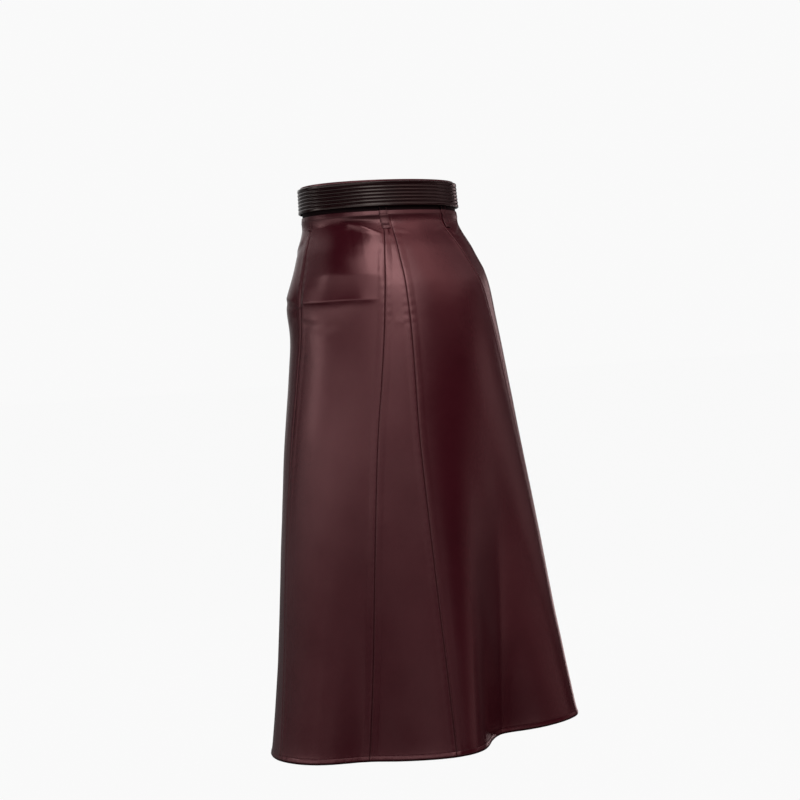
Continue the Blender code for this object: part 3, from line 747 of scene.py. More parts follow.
Panel = namedtuple("Panel", "name left right middle")
PANELS = (
    Panel("side_back_left_panel", "gore_outer", "side_left", 62),
    Panel("back_left_gore", "gore_inner", "gore_outer", 34),
    Panel("centre_back_panel", "back_right", "gore_inner", 88),
    Panel("side_back_right_panel", "side_right", "back_right", 60),
    Panel("front_panel", "side_left_again", "side_right", 116),
)


def pocket_lift(s, down, front):
    """A pocket mouth: its front edge stands off a little, its back edge lies in."""
    t = np.clip((down - POCKET_TOP) / (POCKET_END - POCKET_TOP), 0.0, 1.0)
    mouth = np.sin(np.pi * t) ** 0.8
    if front:
        return 0.0012 * mouth * np.exp(-(s / 0.0085) ** 2)
    return -0.0007 * mouth * np.exp(-(s / 0.0060) ** 2)


def below_band(turn, e):
    """The leather below the band: a little drawn in, and pulled out over the left hip.

    On the hip it stands out as far as the crease that runs down to the gore, and
    drops off sharply under it.
    """
    top = 1.0 - np.clip(1.0 - e / 0.0120, 0.0, 1.0) ** 1.4
    flat = -0.0010 * top * np.exp(-(np.maximum(e - 0.012, 0.0) / 0.040) ** 2) - 0.0009 * (1.0 - top) \
        + 0.0009 * np.exp(-((turn - 23.0) / 6.0) ** 2) * np.clip(1.0 - e / 0.0090, 0.0, 1.0)
    hip = step(18.0, 46.0, turn) * (1.0 - step(48.0, 60.0, turn))
    crest = np.maximum(0.0069 + 0.000884 * (56.0 - turn), 0.0118)
    tall = 0.0056 * hip * np.minimum(crest / 0.018, 1.0)
    rise = 1.0 - (1.0 - np.clip((e - 0.0055) / (crest - 0.0055), 0.0, 1.0)) ** 1.9
    roll = 0.0016 * step(24.0, 34.0, turn) * (1.0 - step(46.0, 56.0, turn)) * np.clip(1.0 - e / 0.0062, 0.0, 1.0)
    past = np.maximum(e - crest, 0.0)
    drop = 0.0029 * hip * step(33.0, 45.0, turn) * np.clip(past / 0.0080, 0.0, 1.0)
    return flat + roll + (tall * rise - drop) * np.exp(-(past / (0.034 + 0.008 * step(36.0, 44.0, turn))) ** 2)


def panel_height(name, turn, down, sl, sr):
    """Height of the panel's outer face over the skin, and the soft part of it."""
    p = at(turn, down)
    soft = 0.00022 * ripple(p, SOFT_WAVES)
    for c in CREASES[name]:
        soft = soft + crease_height(c, turn, down)
    if name == "back_left_gore":
        # a pad of seam allowances under the loop, gathered into fine upright puckers
        soft = soft + 0.0007 * np.exp(-((down - 0.0800) / 0.0060) ** 2) \
            + 0.00022 * np.sin((sl - sr) * 2600.0) * np.exp(-((down - 0.0755) / 0.0050) ** 2)
    if name == "front_panel":
        soft = soft + pocket_lift(sl, down, True) + pocket_lift(sr, down, True)
    if name == "side_back_left_panel":
        soft = soft + pocket_lift(sr, down, False)
    if name == "side_back_right_panel":
        soft = soft + pocket_lift(sl, down, False)
    # the soft relief meets its neighbour's at the seam
    for s in (sl, sr):
        soft = soft * (0.25 + 0.75 * step(0.0, 0.0075, s))
    soft = soft * step(0.0, 0.012, down - BAND_HEIGHT + 0.002) + below_band(turn, down - BAND_HEIGHT)
    along = np.radians(turn) * 0.21
    pucker = 0.00008 * np.sin(down * 520.0 + turn * 0.05) * (np.exp(-((sl - 0.004) / 0.004) ** 2)
                                                           + np.exp(-((sr - 0.004) / 0.004) ** 2))
    flat = 0.30 + 0.70 * step(0.058, 0.088, down)       # the belt presses the seams flat
    hard = (seam_relief(sl) + seam_relief(sr)) * flat + hem_relief(CUT_LENGTH - down, along) \
        + top_relief(down - BAND_HEIGHT) + 0.00003 * ripple(p, FINE_WAVES) + pucker
    return soft + hard, soft


def build_panels():
    made = {}
    rows = panel_rows()
    for panel in PANELS:
        middle = panel.middle
        turn, sl, sr = panel_grid(panel.left, panel.right, rows, EDGE, middle)
        down = np.broadcast_to(rows[:, None], turn.shape)
        height, soft = panel_height(panel.name, turn, down, sl, sr)
        p, n = at(turn, down), outward(turn, down)
        outer = p + n * height[..., None]
        # flesh side: seam allowances and the turned hem stand in from it
        near = np.minimum(sl, sr)
        e = CUT_LENGTH - down
        layers = 1.0 - step(0.0085, 0.0095, near)
        turned = 1.0 - step(HEM_FOLD + 0.0016, HEM_FOLD + 0.0024, e)
        thick = PANEL_WALL + np.maximum(0.0009 * layers, 0.0015 * turned)
        t = np.clip(1.0 - e / 0.0011, 0.0, 1.0)
        thick = thick - 0.0003 * (1.0 - np.sqrt(np.clip(1.0 - t * t, 0.0, 1.0)))
        inner = p + n * (np.minimum(soft, 0.0015) - thick)[..., None]
        # painted shade in the seams and the hem's stitch groove, and along the rolled hem edge;
        # lighter where rubbed beside the seams and on the crests, and in a band on the hem's fold
        low = 0.20 + 0.80 * step(0.060, 0.090, down)
        # painted shade: the leather just under the band, and on the hip down to its crease, is darkened and matt
        under = down - BAND_HEIGHT
        hip = step(26.0, 36.0, turn) * (1.0 - step(48.0, 60.0, turn))
        crest = np.maximum(0.0069 + 0.000884 * (56.0 - turn), 0.0118)
        shade_below_band = (0.45 + 1.05 * hip) * np.exp(-(under / 0.0074) ** 2) + 0.42 * hip * (1.0 - step(0.80, 0.98, under / crest))
        groove = shade_below_band + 0.62 * low * np.exp(-(near / 0.0013) ** 2) + 0.2 * np.exp(-((e - HEM_FOLD) / 0.0008) ** 2) \
            + 1.2 * (1.0 - step(0.0022, 0.0032, e))
        rubbed = 0.25 * np.exp(-((near - 0.0034) / 0.0014) ** 2) \
            + 0.7 * step(0.0034, 0.0044, e) * (1.0 - step(0.0064, 0.0074, e)) \
            * (1.0 - 0.9 * np.exp(-((turn - 1.0) / 7.0) ** 2))
        rubbed = rubbed + np.clip(soft / 0.0026, 0.0, 1.0) * 0.3
        values = {"shade_and_edge_paint": (np.clip(groove, 0, 1), np.zeros_like(groove)),
                  "wear": (np.clip(rubbed, 0, 1), np.zeros_like(rubbed))}
        obj = shell(panel.name + "_shell", outer, inner, [LEATHER, BACKING], values=values)
        finish_piece(obj, [panel.name])
        widths = np.array([sl[k, -1] for k in range(len(rows))]) + SEAM_CLEAR
        area = float(np.trapezoid(widths, rows)) if hasattr(np, "trapezoid") else float(np.trapz(widths, rows))
        made[panel.name] = (obj, float(widths.max()), float(rows[-1] - rows[0]), area)
    return made


panels = build_panels()


# ------------------------------------------------------------------ waistband
LIP_TOP, LIP_END, LIP_OUT = 0.0434, 0.0503, 0.00050


def lip(down):
    """The padded lower edge of the waistband, below the belt."""
    t = (np.asarray(down, float) - LIP_TOP) / (LIP_END - LIP_TOP)
    rise = np.clip(t / 0.86, 0.0, 1.0)
    turned = np.clip((t - 0.86) / 0.14, 0.0, 1.0)
    full = (1.0 - (1.0 - rise) ** 1.6) * np.sqrt(np.clip(1.0 - turned ** 2.2, 0.0, 1.0))
    return LIP_OUT * np.where((t > 0) & (t < 1), full, 0.0)


def paint(obj, chosen):
    """Gives the chosen faces the second material."""
    index = np.asarray(chosen, np.int32)
    assert len(index) == len(obj.data.polygons)
    obj.data.polygons.foreach_set("material_index", index)


def build_waistband():
    half = BAND_WALL / 2
    profile = []                                    # (out, down), once round
    for a in np.linspace(-90, 0, 9):                # top fold, outwards
        profile.append((-half + half * math.cos(math.radians(a)) , half + half * math.sin(math.radians(a))))
    for d in np.linspace(0.0025, 0.0325, 14):
        profile.append((0.0, d))
    profile += [(-0.0002, 0.0345), (-0.0006, 0.0365), (-0.0009, 0.0385), (-0.0011, 0.0405), (-0.0011, 0.0420),
                (-0.0009, 0.0427), (-0.0009, 0.0430), (-0.0005, 0.0433)]
    for t in np.linspace(0.04, 0.97, 18):
        d = LIP_TOP + (LIP_END - LIP_TOP) * t
        profile.append((float(lip(d)), d))
    profile += [(-0.0002, LIP_END + 0.00005), (-0.0009, LIP_END - 0.0001), (-BAND_WALL + 0.0002, LIP_END - 0.0003),
                (-BAND_WALL, LIP_END - 0.0010)]
    for d in np.linspace(0.0480, 0.0025, 12):
        profile.append((-BAND_WALL, d))
    for a in np.linspace(180, 255, 6):
        profile.append((-half + half * math.cos(math.radians(a)), half + half * math.sin(math.radians(a))))
    profile = np.array(profile)
    n = 540
    turn = np.arange(n) * 360.0 / n
    out = np.broadcast_to(profile[:, 0], (n, len(profile))).copy()
    down = np.broadcast_to(profile[:, 1], (n, len(profile)))
    wave = 0.00010 * np.sin(np.radians(turn) * 37.0 + 0.6) * np.sin(np.radians(turn) * 11.0)
    below = step(0.040, 0.047, down)
    out += wave[:, None] * below * (out > -0.0008)
    for loop in LOOPS:                              # drawn in a little under each loop
        out -= (0.00030 * np.exp(-(apart(turn, loop.turn) / 3.2) ** 2))[:, None] * below * (out > -0.0008)
    grid = laid(np.broadcast_to(turn[:, None], out.shape), down, out)
    front = out > -0.0014
    # painted shade: the lip and the front of the band below it are darkened, most at the lip's turned edge
    band_shade = 0.60 * np.exp(-((down - LIP_END) / 0.0012) ** 2) + 0.60 * step(0.0420, 0.0440, down) * front
    rubbed = np.clip(0.2 * np.exp(-((down - 0.0466) / 0.0026) ** 2) * front + np.exp(-(down / 0.0012) ** 2), 0, 1)
    obj = tube("waistband_shell", grid, [LEATHER, CREVICE], closed=True,
               values={"shade_and_edge_paint": np.clip(band_shade, 0, 1), "wear": rubbed})
    shaded = (profile[:, 1] > 0.0330) & (profile[:, 1] < 0.0431) & (profile[:, 0] > -0.0014)
    paint(obj, np.tile(shaded & np.roll(shaded, -1), n))
    finish_piece(obj, ["waistband"])
    # the band's stitching lies in the belt's shade and takes the dark belt thread, as painted shade
    line = laid(np.linspace(0, 360, 3000), np.full(3000, 0.04335), np.full(3000, -0.00058))
    a, b, share = run_stitches(line)
    normals = outward(share * 360.0, np.full(len(share), 0.0437))
    sewn = stitches("waistband_stitching", a, b, normals, THREAD, BELT_THREAD)
    finish_piece(sewn, ())
    return obj, sewn


waistband, waistband_stitching = build_waistband()


# ---------------------------------------------------------------- belt loops
def loop_base(down):
    """What the loop lies on."""
    def ground(d):
        return np.maximum(np.maximum(lip(d), 0.0), np.where(d > BAND_HEIGHT, top_relief(d - BAND_HEIGHT), 0.0))
    under = ground(down)
    spread = [ground(down + d) for d in (-0.0012, -0.0006, 0.0006, 0.0012)]
    return np.maximum.reduce([under] + spread) + 0.00015


def shade_above(obj, down):
    """The outer leather of a loop above a height lies in the belt's shade."""
    mesh = obj.data
    index = np.zeros(len(mesh.polygons), np.int32)
    mesh.polygons.foreach_get("material_index", index)
    centre = np.zeros(len(mesh.polygons) * 3, np.float32)
    mesh.polygons.foreach_get("center", centre)
    index[(centre.reshape(-1, 3)[:, 2] > -down) & (index == 0)] = 2
    mesh.polygons.foreach_set("material_index", index)


def build_loops():
    made = []
    rows = np.concatenate([[LOOP_TOP, LOOP_TOP + 0.0004, LOOP_TOP + 0.0010], np.arange(0.0062, 0.0400, 0.0026),
                           np.arange(0.0405, 0.0685, 0.0006), [0.0690, 0.0695, 0.0699, 0.0702, 0.0704, LOOP_BOTTOM]])
    across = LOOP_WIDTH / 2 * np.array([-1, -0.985, -0.95, -0.90, -0.84, -0.79, -0.75, -0.71, -0.65, -0.5, -0.25, 0,
                                        0.25, 0.5, 0.65, 0.71, 0.75, 0.79, 0.84, 0.90, 0.95, 0.985, 1])
    for loop in LOOPS:
        scale = per_degree(loop.turn, rows)
        turn = loop.turn + across[None, :] / scale[:, None]
        down = np.broadcast_to(rows[:, None], turn.shape)
        a = np.abs(across)[None, :] / (LOOP_WIDTH / 2)
        end = np.minimum(rows - LOOP_TOP, LOOP_BOTTOM - rows)[:, None]
        edge = (1 - a) * LOOP_WIDTH / 2
        rim = np.clip(1 - np.minimum(edge, end) / 0.0010, 0, 1)
        folded = step(0.0590, 0.0602, down)                     # end turned under
        top = LOOP_WALL + 0.0002 * folded
        puff = 0.00012 * np.sqrt(np.clip(1 - (a / 0.70) ** 2, 0, 1)) - 0.00012 * np.exp(-((a - 0.75) / 0.035) ** 2)
        tack = -0.00012 * np.exp(-((down - 0.0642) / 0.0016) ** 2)
        sag = -0.0002 * np.exp(-((down - 0.0545) / 0.0034) ** 2)
        base = loop_base(down) + sag * (a < 2)
        out = base + top + puff + tack - 0.0007 * (1 - np.sqrt(np.clip(1 - rim ** 2, 0, 1)))
        outer, inner = laid(turn, down, out), laid(turn, down, base)
        # painted shade: the whole loop is darkened, fully where the belt shades it above the lip, a little more along
        # its stitch lines and bar tack
        groove = np.exp(-((a - 0.75) / 0.05) ** 2) * 0.15 + 0 * edge * end
        groove = groove + 0.10 * np.exp(-((down - 0.0642) / 0.0012) ** 2)
        groove = groove + 1.0 - step(0.0425, 0.0440, down) + 0.80
        rubbed = 0.25 * np.exp(-((a - 0.90) / 0.05) ** 2)
        obj = shell(loop.name + "_shell", outer, inner, [LEATHER, BACKING, CREVICE],
                    values={"shade_and_edge_paint": (np.clip(groove, 0, 1) * np.ones_like(turn), np.zeros_like(turn)),
                            "wear": (np.clip(rubbed, 0, 1) * np.ones_like(turn), np.zeros_like(turn))})
        shade_above(obj, 0.0432)
        finish_piece(obj, [loop.name])
        # two rows of topstitching and the bar tack
        starts, ends, outs = [], [], []
        for side in (-0.75, 0.75):
            d = np.linspace(0.0385, 0.0695, 300)
            t = loop.turn + side * LOOP_WIDTH / 2 / per_degree(loop.turn, d)
            o = loop_base(d) - 0.0003 * np.exp(-((d - 0.0545) / 0.0034) ** 2) + LOOP_WALL + 0.0002 * step(0.0590, 0.0602, d) + 0.00004
            a_, b_, share = run_stitches(laid(t, d, o), pitch=0.0026, length=0.0020)
            starts.append(a_), ends.append(b_)
            outs.append(outward(np.full(len(share), loop.turn), 0.0385 + share * 0.031))
        bars = np.linspace(0.0629, 0.0655, 10)
        w = 0.0050 / per_degree(loop.turn, bars)
        lean = np.where(np.arange(10) % 2, 0.00022, -0.00022)
        o = loop_base(bars) + LOOP_WALL + 0.0002 + 0.00020
        starts.append(laid(loop.turn - w, bars - lean, o))
        ends.append(laid(loop.turn + w, bars + lean, o))
        outs.append(outward(np.full(10, loop.turn), bars))
        sewn = stitches(loop.name + "_stitching", np.concatenate(starts), np.concatenate(ends), np.concatenate(outs),
                        THREAD, THREAD_MATERIAL)
        finish_piece(sewn, ())
        made.append((obj, sewn))
    return made


loops = build_loops()


# ----------------------------------------------------------------------- belt
BELT_MIDDLE = (BELT_TOP + BELT_BOTTOM) / 2
BELT_STEPS = 720
_waist = at(np.arange(BELT_STEPS + 1) * 360.0 / BELT_STEPS, np.full(BELT_STEPS + 1, BELT_MIDDLE))
WAIST_LENGTHS = np.concatenate([[0.0], np.cumsum(np.linalg.norm(np.diff(_waist, axis=0), axis=1))])
WAIST_GIRTH = float(WAIST_LENGTHS[-1])
BAR_FROM_FRONT = BUCKLE_LENGTH / 2


def belt_turn(x):
    s = (WAIST_LENGTHS[BELT_STEPS // 2] + BAR_FROM_FRONT + np.asarray(x, float)) % WAIST_GIRTH
    return np.interp(s, WAIST_LENGTHS, np.arange(BELT_STEPS + 1) * 360.0 / BELT_STEPS)


def on_belt(x, out, down):
    x, out, down = np.broadcast_arrays(*(np.asarray(v, float) for v in (x, out, down)))
    turn = belt_turn(x)
    return at(turn, down) + outward(turn, np.full(turn.shape, BELT_MIDDLE)) * out[..., None]


Lift = namedtuple("Lift", "turns lap out")
LIFTS = (
    Lift(0, 0.000, 0.0052), Lift(0, 0.006, 0.0042), Lift(0, 0.014, 0.0022),
    Lift(0, 0.036, 0.0022), Lift(0, 0.060, 0.0022), Lift(1, -0.060, 0.0022),
    Lift(1, -0.040, 0.0019), Lift(1, -0.026, 0.0019), Lift(1, -0.002, 0.0076),
    Lift(1, 0.004, 0.0076), Lift(1, 0.016, 0.0046), Lift(1, BELT_TAIL, 0.0046),
)


def strap_lift(x):
    return smooth([l.lap + l.turns * WAIST_GIRTH for l in LIFTS], [l.out for l in LIFTS], x)


def belt_rows():
    """Heights of the rows of topstitching over the belt's middle."""
    return (np.arange(BELT_ROWS) - (BELT_ROWS - 1) / 2) * BELT_PITCH


def belt_profile():
    """The strap's section once round: height over its middle, and place through its wall."""
    half = (BELT_BOTTOM - BELT_TOP) / 2
    r = 0.00065
    n = 84
    v = np.linspace(half - r, -half + r, n)
    near = np.abs(v[:, None] - belt_rows()[None, :]).min(1)
    u = 1 - np.clip(near / (BELT_PITCH / 2), 0, 1)      # 0 on the crest of a rib, 1 in the groove
    puff = 0.00024 - 0.00080 * u ** 1.9 - 0.00012 * np.exp(-(near / 0.00045) ** 2)
    puff = puff * step(0.0, 0.0012, half - np.abs(v))
    w = [1.0 + p / BELT_WALL for p in puff]
    # painted shade in the stitch grooves between the ribs
    points, groove = list(zip(v, w)), list(np.exp(-(near / 0.0006) ** 2))
    for a in np.linspace(60, -240, 11)[1:-1]:
        pass
    edge = []
    for a in (-60, -30, 0, 30, 60):                 # lower edge, rounded and painted
        edge.append((-half + r - r * math.cos(math.radians(a)), 0.5 - 0.5 * math.sin(math.radians(a)) * 0.92))
    upper = [(-u, w_) for u, w_ in reversed(edge)]
    lower = edge
    points += lower + [(x, 0.0) for x in np.linspace(-half + r, half - r, 8)] + upper
    groove += [0.35] * 5 + [0.0] * 8 + [0.35] * 5
    return np.array(points), np.array(groove)


def build_belt():
    half = (BELT_BOTTOM - BELT_TOP) / 2
    profile, groove = belt_profile()
    stations = []                                   # x0, out0, x1, out1, half height
    for x in np.linspace(BELT_TURN_BACK, 0.0, 12, endpoint=False):
        stations.append((x, 0.0018, x, 0.0005, half))
    inner = BAR_OUT - 0.0018
    for k in range(0, 25):
        a = math.radians(-90 - 180 * k / 24)
        wall = BELT_FOLD_WALL + (BELT_WALL - BELT_FOLD_WALL) * k / 24
        stations.append((inner * math.cos(a), BAR_OUT + inner * math.sin(a),
                         (inner + wall) * math.cos(a), BAR_OUT + (inner + wall) * math.sin(a), half))
    fine = 0.0022
    marks = list(np.arange(0.0012, 0.020, 0.0012)) + list(np.arange(0.020, WAIST_GIRTH - 0.030, fine))
    marks += list(np.arange(WAIST_GIRTH - 0.030, WAIST_GIRTH + 0.022, 0.0012))
    end = WAIST_GIRTH + BELT_TAIL
    marks += list(np.arange(WAIST_GIRTH + 0.022, end - 0.0135, fine))
    for x in marks:
        low = float(strap_lift(x))
        stations.append((x, low, x, low + BELT_WALL, half))
    for a in np.radians(np.linspace(0, 88, 16)):
        x = end - 0.012 + 0.012 * math.sin(a)
        low = float(strap_lift(x))
        stations.append((x, low, x, low + BELT_WALL, max(half * math.cos(a) ** 0.7, 0.003)))
    s = np.array(stations)
    v, w = profile[:, 0][None, :], profile[:, 1][None, :]
    squeeze = (s[:, 4] / half)[:, None]
    x = s[:, 0:1] + w * (s[:, 2:3] - s[:, 0:1])
    out = s[:, 1:2] + w * (s[:, 3:4] - s[:, 1:2])
    out = out + 0.00006 * np.sin(x * 260.0) * np.sin(x * 71.0 + v * 90.0) * (w > 0.5)
    grid = on_belt(x, out, BELT_MIDDLE - v * squeeze)
    shade_and_edge_paint = np.broadcast_to(groove[None, :], x.shape)
    rubbed = np.broadcast_to(np.where(profile[:, 1] > 0.95, 0.25, 0.6)[None, :], x.shape)
    strap = tube("belt_strap_shell", grid, [BELT_LEATHER], values={"shade_and_edge_paint": shade_and_edge_paint, "wear": rubbed})
    # slot in the fold, and the punched holes of the tail: the prong goes through one
    Cut = namedtuple("Cut", "name x_from x_to out_from out_to half_height")
    cuts = [Cut("cut_fold", -0.0050, 0.0046, -0.0010, 0.00740, 0.0024),
            Cut("cut_tail", -0.0105, -0.0012, 0.0045, 0.0130, 0.0018)]
    for cut in cuts:
        corners = []
        for x_ in (cut.x_from, cut.x_to):
            for o_ in (cut.out_from, cut.out_to):
                for side in (-1, 1):
                    corners.append(on_belt(x_, o_, BELT_MIDDLE + side * cut.half_height))
        faces = [(0, 1, 3, 2), (4, 6, 7, 5), (0, 4, 5, 1), (2, 3, 7, 6), (0, 2, 6, 4), (1, 5, 7, 3)]
        drill(strap, np.array(corners), faces)
    for x_ in (-0.046, -0.023, 0.023, 0.069):
        lap = WAIST_GIRTH + x_
        low = float(strap_lift(lap)) - 0.0004
        high = low + BELT_WALL + 0.0014
        a = np.radians(np.arange(20) * 18.0)
        rings = [on_belt(lap + 0.00165 * np.cos(a), o_, BELT_MIDDLE + 0.00165 * np.sin(a)) for o_ in (low, high)]
        n = len(a)
        faces = [tuple(range(n)), tuple(range(2 * n - 1, n - 1, -1))]
        faces += [(j, n + j, n + (j + 1) % n, (j + 1) % n) for j in range(n)]
        drill(strap, np.concatenate(rings), faces)
    finish_piece(strap, ["belt_strap"])
    # topstitching: six rows from the fold to the tail
    starts, ends, outs = [], [], []
    for k, v_ in enumerate(belt_rows()):
        stop = end - 0.010 if abs(v_) < 0.011 else end - 0.0135
        d = np.arange(0.0040, stop, 0.0006)
        low = strap_lift(d)
        line = on_belt(d, low + BELT_WALL - 0.00046, BELT_MIDDLE - v_)
        a_, b_, share = run_stitches(line, pitch=0.0034, length=0.0026, start=0.0004 * k)
        at_x = d[0] + share * (d[-1] - d[0])
        holes = np.zeros(len(share), bool)
        starts.append(a_[~holes]), ends.append(b_[~holes])
        outs.append(outward(belt_turn(at_x), np.full(len(at_x), BELT_MIDDLE))[~holes])
    sewn = stitches("belt_stitching", np.concatenate(starts), np.concatenate(ends), np.concatenate(outs),
                    THREAD, BELT_THREAD, sides=5)
    finish_piece(sewn, ())
    return strap, sewn


def drill(obj, points, faces):
    """Cuts a closed shape out of obj, and applies the cut."""
    mesh = bpy.data.meshes.new("cutter")
    mesh.from_pydata([tuple(p) for p in points], [], faces)
    cutter = bpy.data.objects.new("cutter", mesh)
    bpy.context.scene.collection.objects.link(cutter)
    turn_out(cutter)
    for m in obj.data.materials:
        mesh.materials.append(m)
    boolean = obj.modifiers.new("cut", 'BOOLEAN')
    boolean.operation, boolean.solver, boolean.object = 'DIFFERENCE', 'EXACT', cutter
    bpy.context.view_layer.update()
    depsgraph = bpy.context.evaluated_depsgraph_get()
    done = bpy.data.meshes.new_from_object(obj.evaluated_get(depsgraph))
    obj.modifiers.clear()
    old = obj.data
    obj.data = done
    bpy.data.meshes.remove(old)
    bpy.data.objects.remove(cutter)
    bpy.data.meshes.remove(mesh)
    return obj


belt, belt_stitching = build_belt()


def frames_along(points, closed):
    """Tangents of a line of points."""
    if closed:
        return unit(np.roll(points, -1, 0) - np.roll(points, 1, 0))
    t = np.gradient(points, axis=0)
    return unit(t)


def unit(v):
    return v / np.linalg.norm(v, axis=-1)[..., None]


def wire(points, outs, radius, sides, closed, across=None):
    """Rings of points round a line. radius may vary; across flattens the ring off the surface."""
    points = np.asarray(points, float)
    way = frames_along(points, closed)
    side = unit(outs - way * np.einsum("ij,ij->i", outs, way)[:, None])
    other = np.cross(way, side)
    radius = np.broadcast_to(np.asarray(radius, float), len(points))
    flat = radius if across is None else np.broadcast_to(np.asarray(across, float), len(points))
    a = 2 * np.pi * np.arange(sides) / sides
    return points[:, None] + side[:, None] * (radius[:, None] * np.cos(a))[..., None] \
        + other[:, None] * (flat[:, None] * np.sin(a))[..., None]


def build_buckle():
    h, r = BUCKLE_HALF_HEIGHT, BUCKLE_CORNER
    flat = []
    corners = ((0.0, h, 0), (-BUCKLE_LENGTH, h, 90), (-BUCKLE_LENGTH, -h, 180), (0.0, -h, 270))
    for cx, cz, start in corners:
        sx, sz = (1 if cx == 0.0 else -1), (1 if cz > 0 else -1)
        for k in range(9):
            a = math.radians(start + 90 * k / 8)
            flat.append((cx - sx * r + r * math.cos(a), cz - sz * r + r * math.sin(a)))
    path = []
    for k, (x, z) in enumerate(flat):
        nx, nz = flat[(k + 1) % len(flat)]
        parts = max(1, int(math.hypot(nx - x, nz - z) / 0.0016))
        path += [(x + (nx - x) * j / parts, z + (nz - z) * j / parts) for j in range(parts)]
    path = np.array(path)
    out = BAR_OUT + (FAR_OUT - BAR_OUT) * np.clip(-path[:, 0] / BUCKLE_LENGTH, 0.0, 1.0)
    points = on_belt(path[:, 0], out, BELT_MIDDLE - path[:, 1])
    outs = outward(belt_turn(path[:, 0]), np.full(len(path), BELT_MIDDLE))
    rings = wire(points, outs, BUCKLE_WIRE, 20, True)
    made = tube("buckle_frame_shell", rings, [METAL], closed=True)
    finish_piece(made, ["buckle_frame"])
    # prong
    grip = BUCKLE_WIRE + 0.0003 + PRONG_RADIUS
    bend = [(grip * math.cos(math.radians(a)), BAR_OUT + grip * math.sin(math.radians(a))) for a in (-35, -10, 15, 40, 65, 90)]
    reach = [(-0.0030, 0.0068), (-0.0055, 0.0083), (-0.0085, 0.0098), (-0.0130, 0.0101), (-0.0200, 0.0096),
             (-BUCKLE_LENGTH, FAR_OUT + BUCKLE_WIRE + 0.0004 + PRONG_RADIUS),
             (-BUCKLE_LENGTH - 0.0028, FAR_OUT + BUCKLE_WIRE + 0.0001 + PRONG_RADIUS)]
    rough = np.array(bend + reach)
    s = np.concatenate([[0], np.cumsum(np.hypot(*np.diff(rough, axis=0).T))])
    fine = np.linspace(0, s[-1], 70)
    xs, os_ = smooth(s, rough[:, 0], fine), smooth(s, rough[:, 1], fine)
    points = on_belt(xs, os_, np.full(len(xs), BELT_MIDDLE))
    outs = outward(belt_turn(xs), np.full(len(xs), BELT_MIDDLE))
    left = s[-1] - fine
    radius = PRONG_RADIUS * np.clip(0.35 + 0.65 * np.sqrt(np.clip(left / 0.0045, 0, 1)), 0, 1)
    radius[0] *= 0.6
    rings = wire(points, outs, radius, 16, False)
    prong = tube("buckle_prong_shell", rings, [METAL])
    finish_piece(prong, ["buckle_prong"])
    return made, prong


def build_keeper():
    low, high, rise, w = 0.0017, 0.0070, (BELT_BOTTOM - BELT_TOP) / 2 + 0.0004, KEEPER_WALL
    r = 0.0010
    ring = []                                       # middle of the wall: (out, z), normal
    corners = ((high - r + w / 2, rise - r + w / 2, 0), (low + r - w / 2, rise - r + w / 2, 90),
               (low + r - w / 2, -rise + r - w / 2, 180), (high - r + w / 2, -rise + r - w / 2, 270))
    for co, cz, start in corners:
        for k in range(7):
            a = math.radians(start + 90 * k / 6)
            ring.append((co + r * math.cos(a), cz + r * math.sin(a), math.cos(a), math.sin(a)))
    path = []
    for k, q in enumerate(ring):
        n = ring[(k + 1) % len(ring)]
        parts = max(1, int(math.hypot(n[0] - q[0], n[1] - q[1]) / 0.0012))
        path += [tuple(q[i] + (n[i] - q[i]) * j / parts for i in range(4)) for j in range(parts)]
    path = np.array(path)
    section = []                                    # (along the belt, through the wall)
    hw, ht = KEEPER_WIDTH / 2, w / 2
    for a in np.radians(np.arange(-90, 91, 22.5)):
        section.append((hw - ht + ht * math.cos(a), ht * math.sin(a)))
    for x in np.linspace(hw - ht, -hw + ht, 12)[1:-1]:
        d = hw - abs(x)
        section.append((x, ht + 0.00012 * math.cos(x / hw * 1.4) - 0.00022 * math.exp(-((d - 0.0016) / 0.0003) ** 2)))
    for a in np.radians(np.arange(90, 271, 22.5)):
        section.append((-hw + ht + ht * math.cos(a), ht * math.sin(a)))
    section = np.array(section)
    x = KEEPER_AT + section[:, 0][None, :] + 0 * path[:, 0:1]
    out = path[:, 0:1] + path[:, 2:3] * section[:, 1][None, :]
    z = path[:, 1:2] + path[:, 3:4] * section[:, 1][None, :]
    grid = on_belt(x, out, BELT_MIDDLE - z)
    # painted shade along the keeper's two stitch grooves
    flat = np.broadcast_to((np.abs(np.abs(section[:, 0]) - (hw - 0.0016)) < 0.0005)[None, :], x.shape) * 0.5
    made = tube("belt_keeper_shell", grid, [BELT_LEATHER], closed=True,
                values={"shade_and_edge_paint": flat, "wear": np.full(x.shape, 0.4)})
    finish_piece(made, ["belt_keeper"])
    return made


buckle = build_buckle()
keeper = build_keeper()


# ---------------------------------------------------- stitching of the panels
def build_hem_stitching():
    turns = np.linspace(-180, 180, 9000)
    down = np.full(len(turns), CUT_LENGTH - HEM_FOLD)
    line = laid(turns, down, np.full(len(turns), 0.00002))
    a, b, share = run_stitches(line)
    s = np.concatenate([[0], np.cumsum(np.linalg.norm(np.diff(line, axis=0), axis=1))])
    t = np.interp(share * s[-1], s, turns)
    sewn = stitches("hem_stitching", a, b, outward(t, np.full(len(t), CUT_LENGTH - HEM_FOLD)), THREAD, THREAD_MATERIAL)
    return finish_piece(sewn, ())


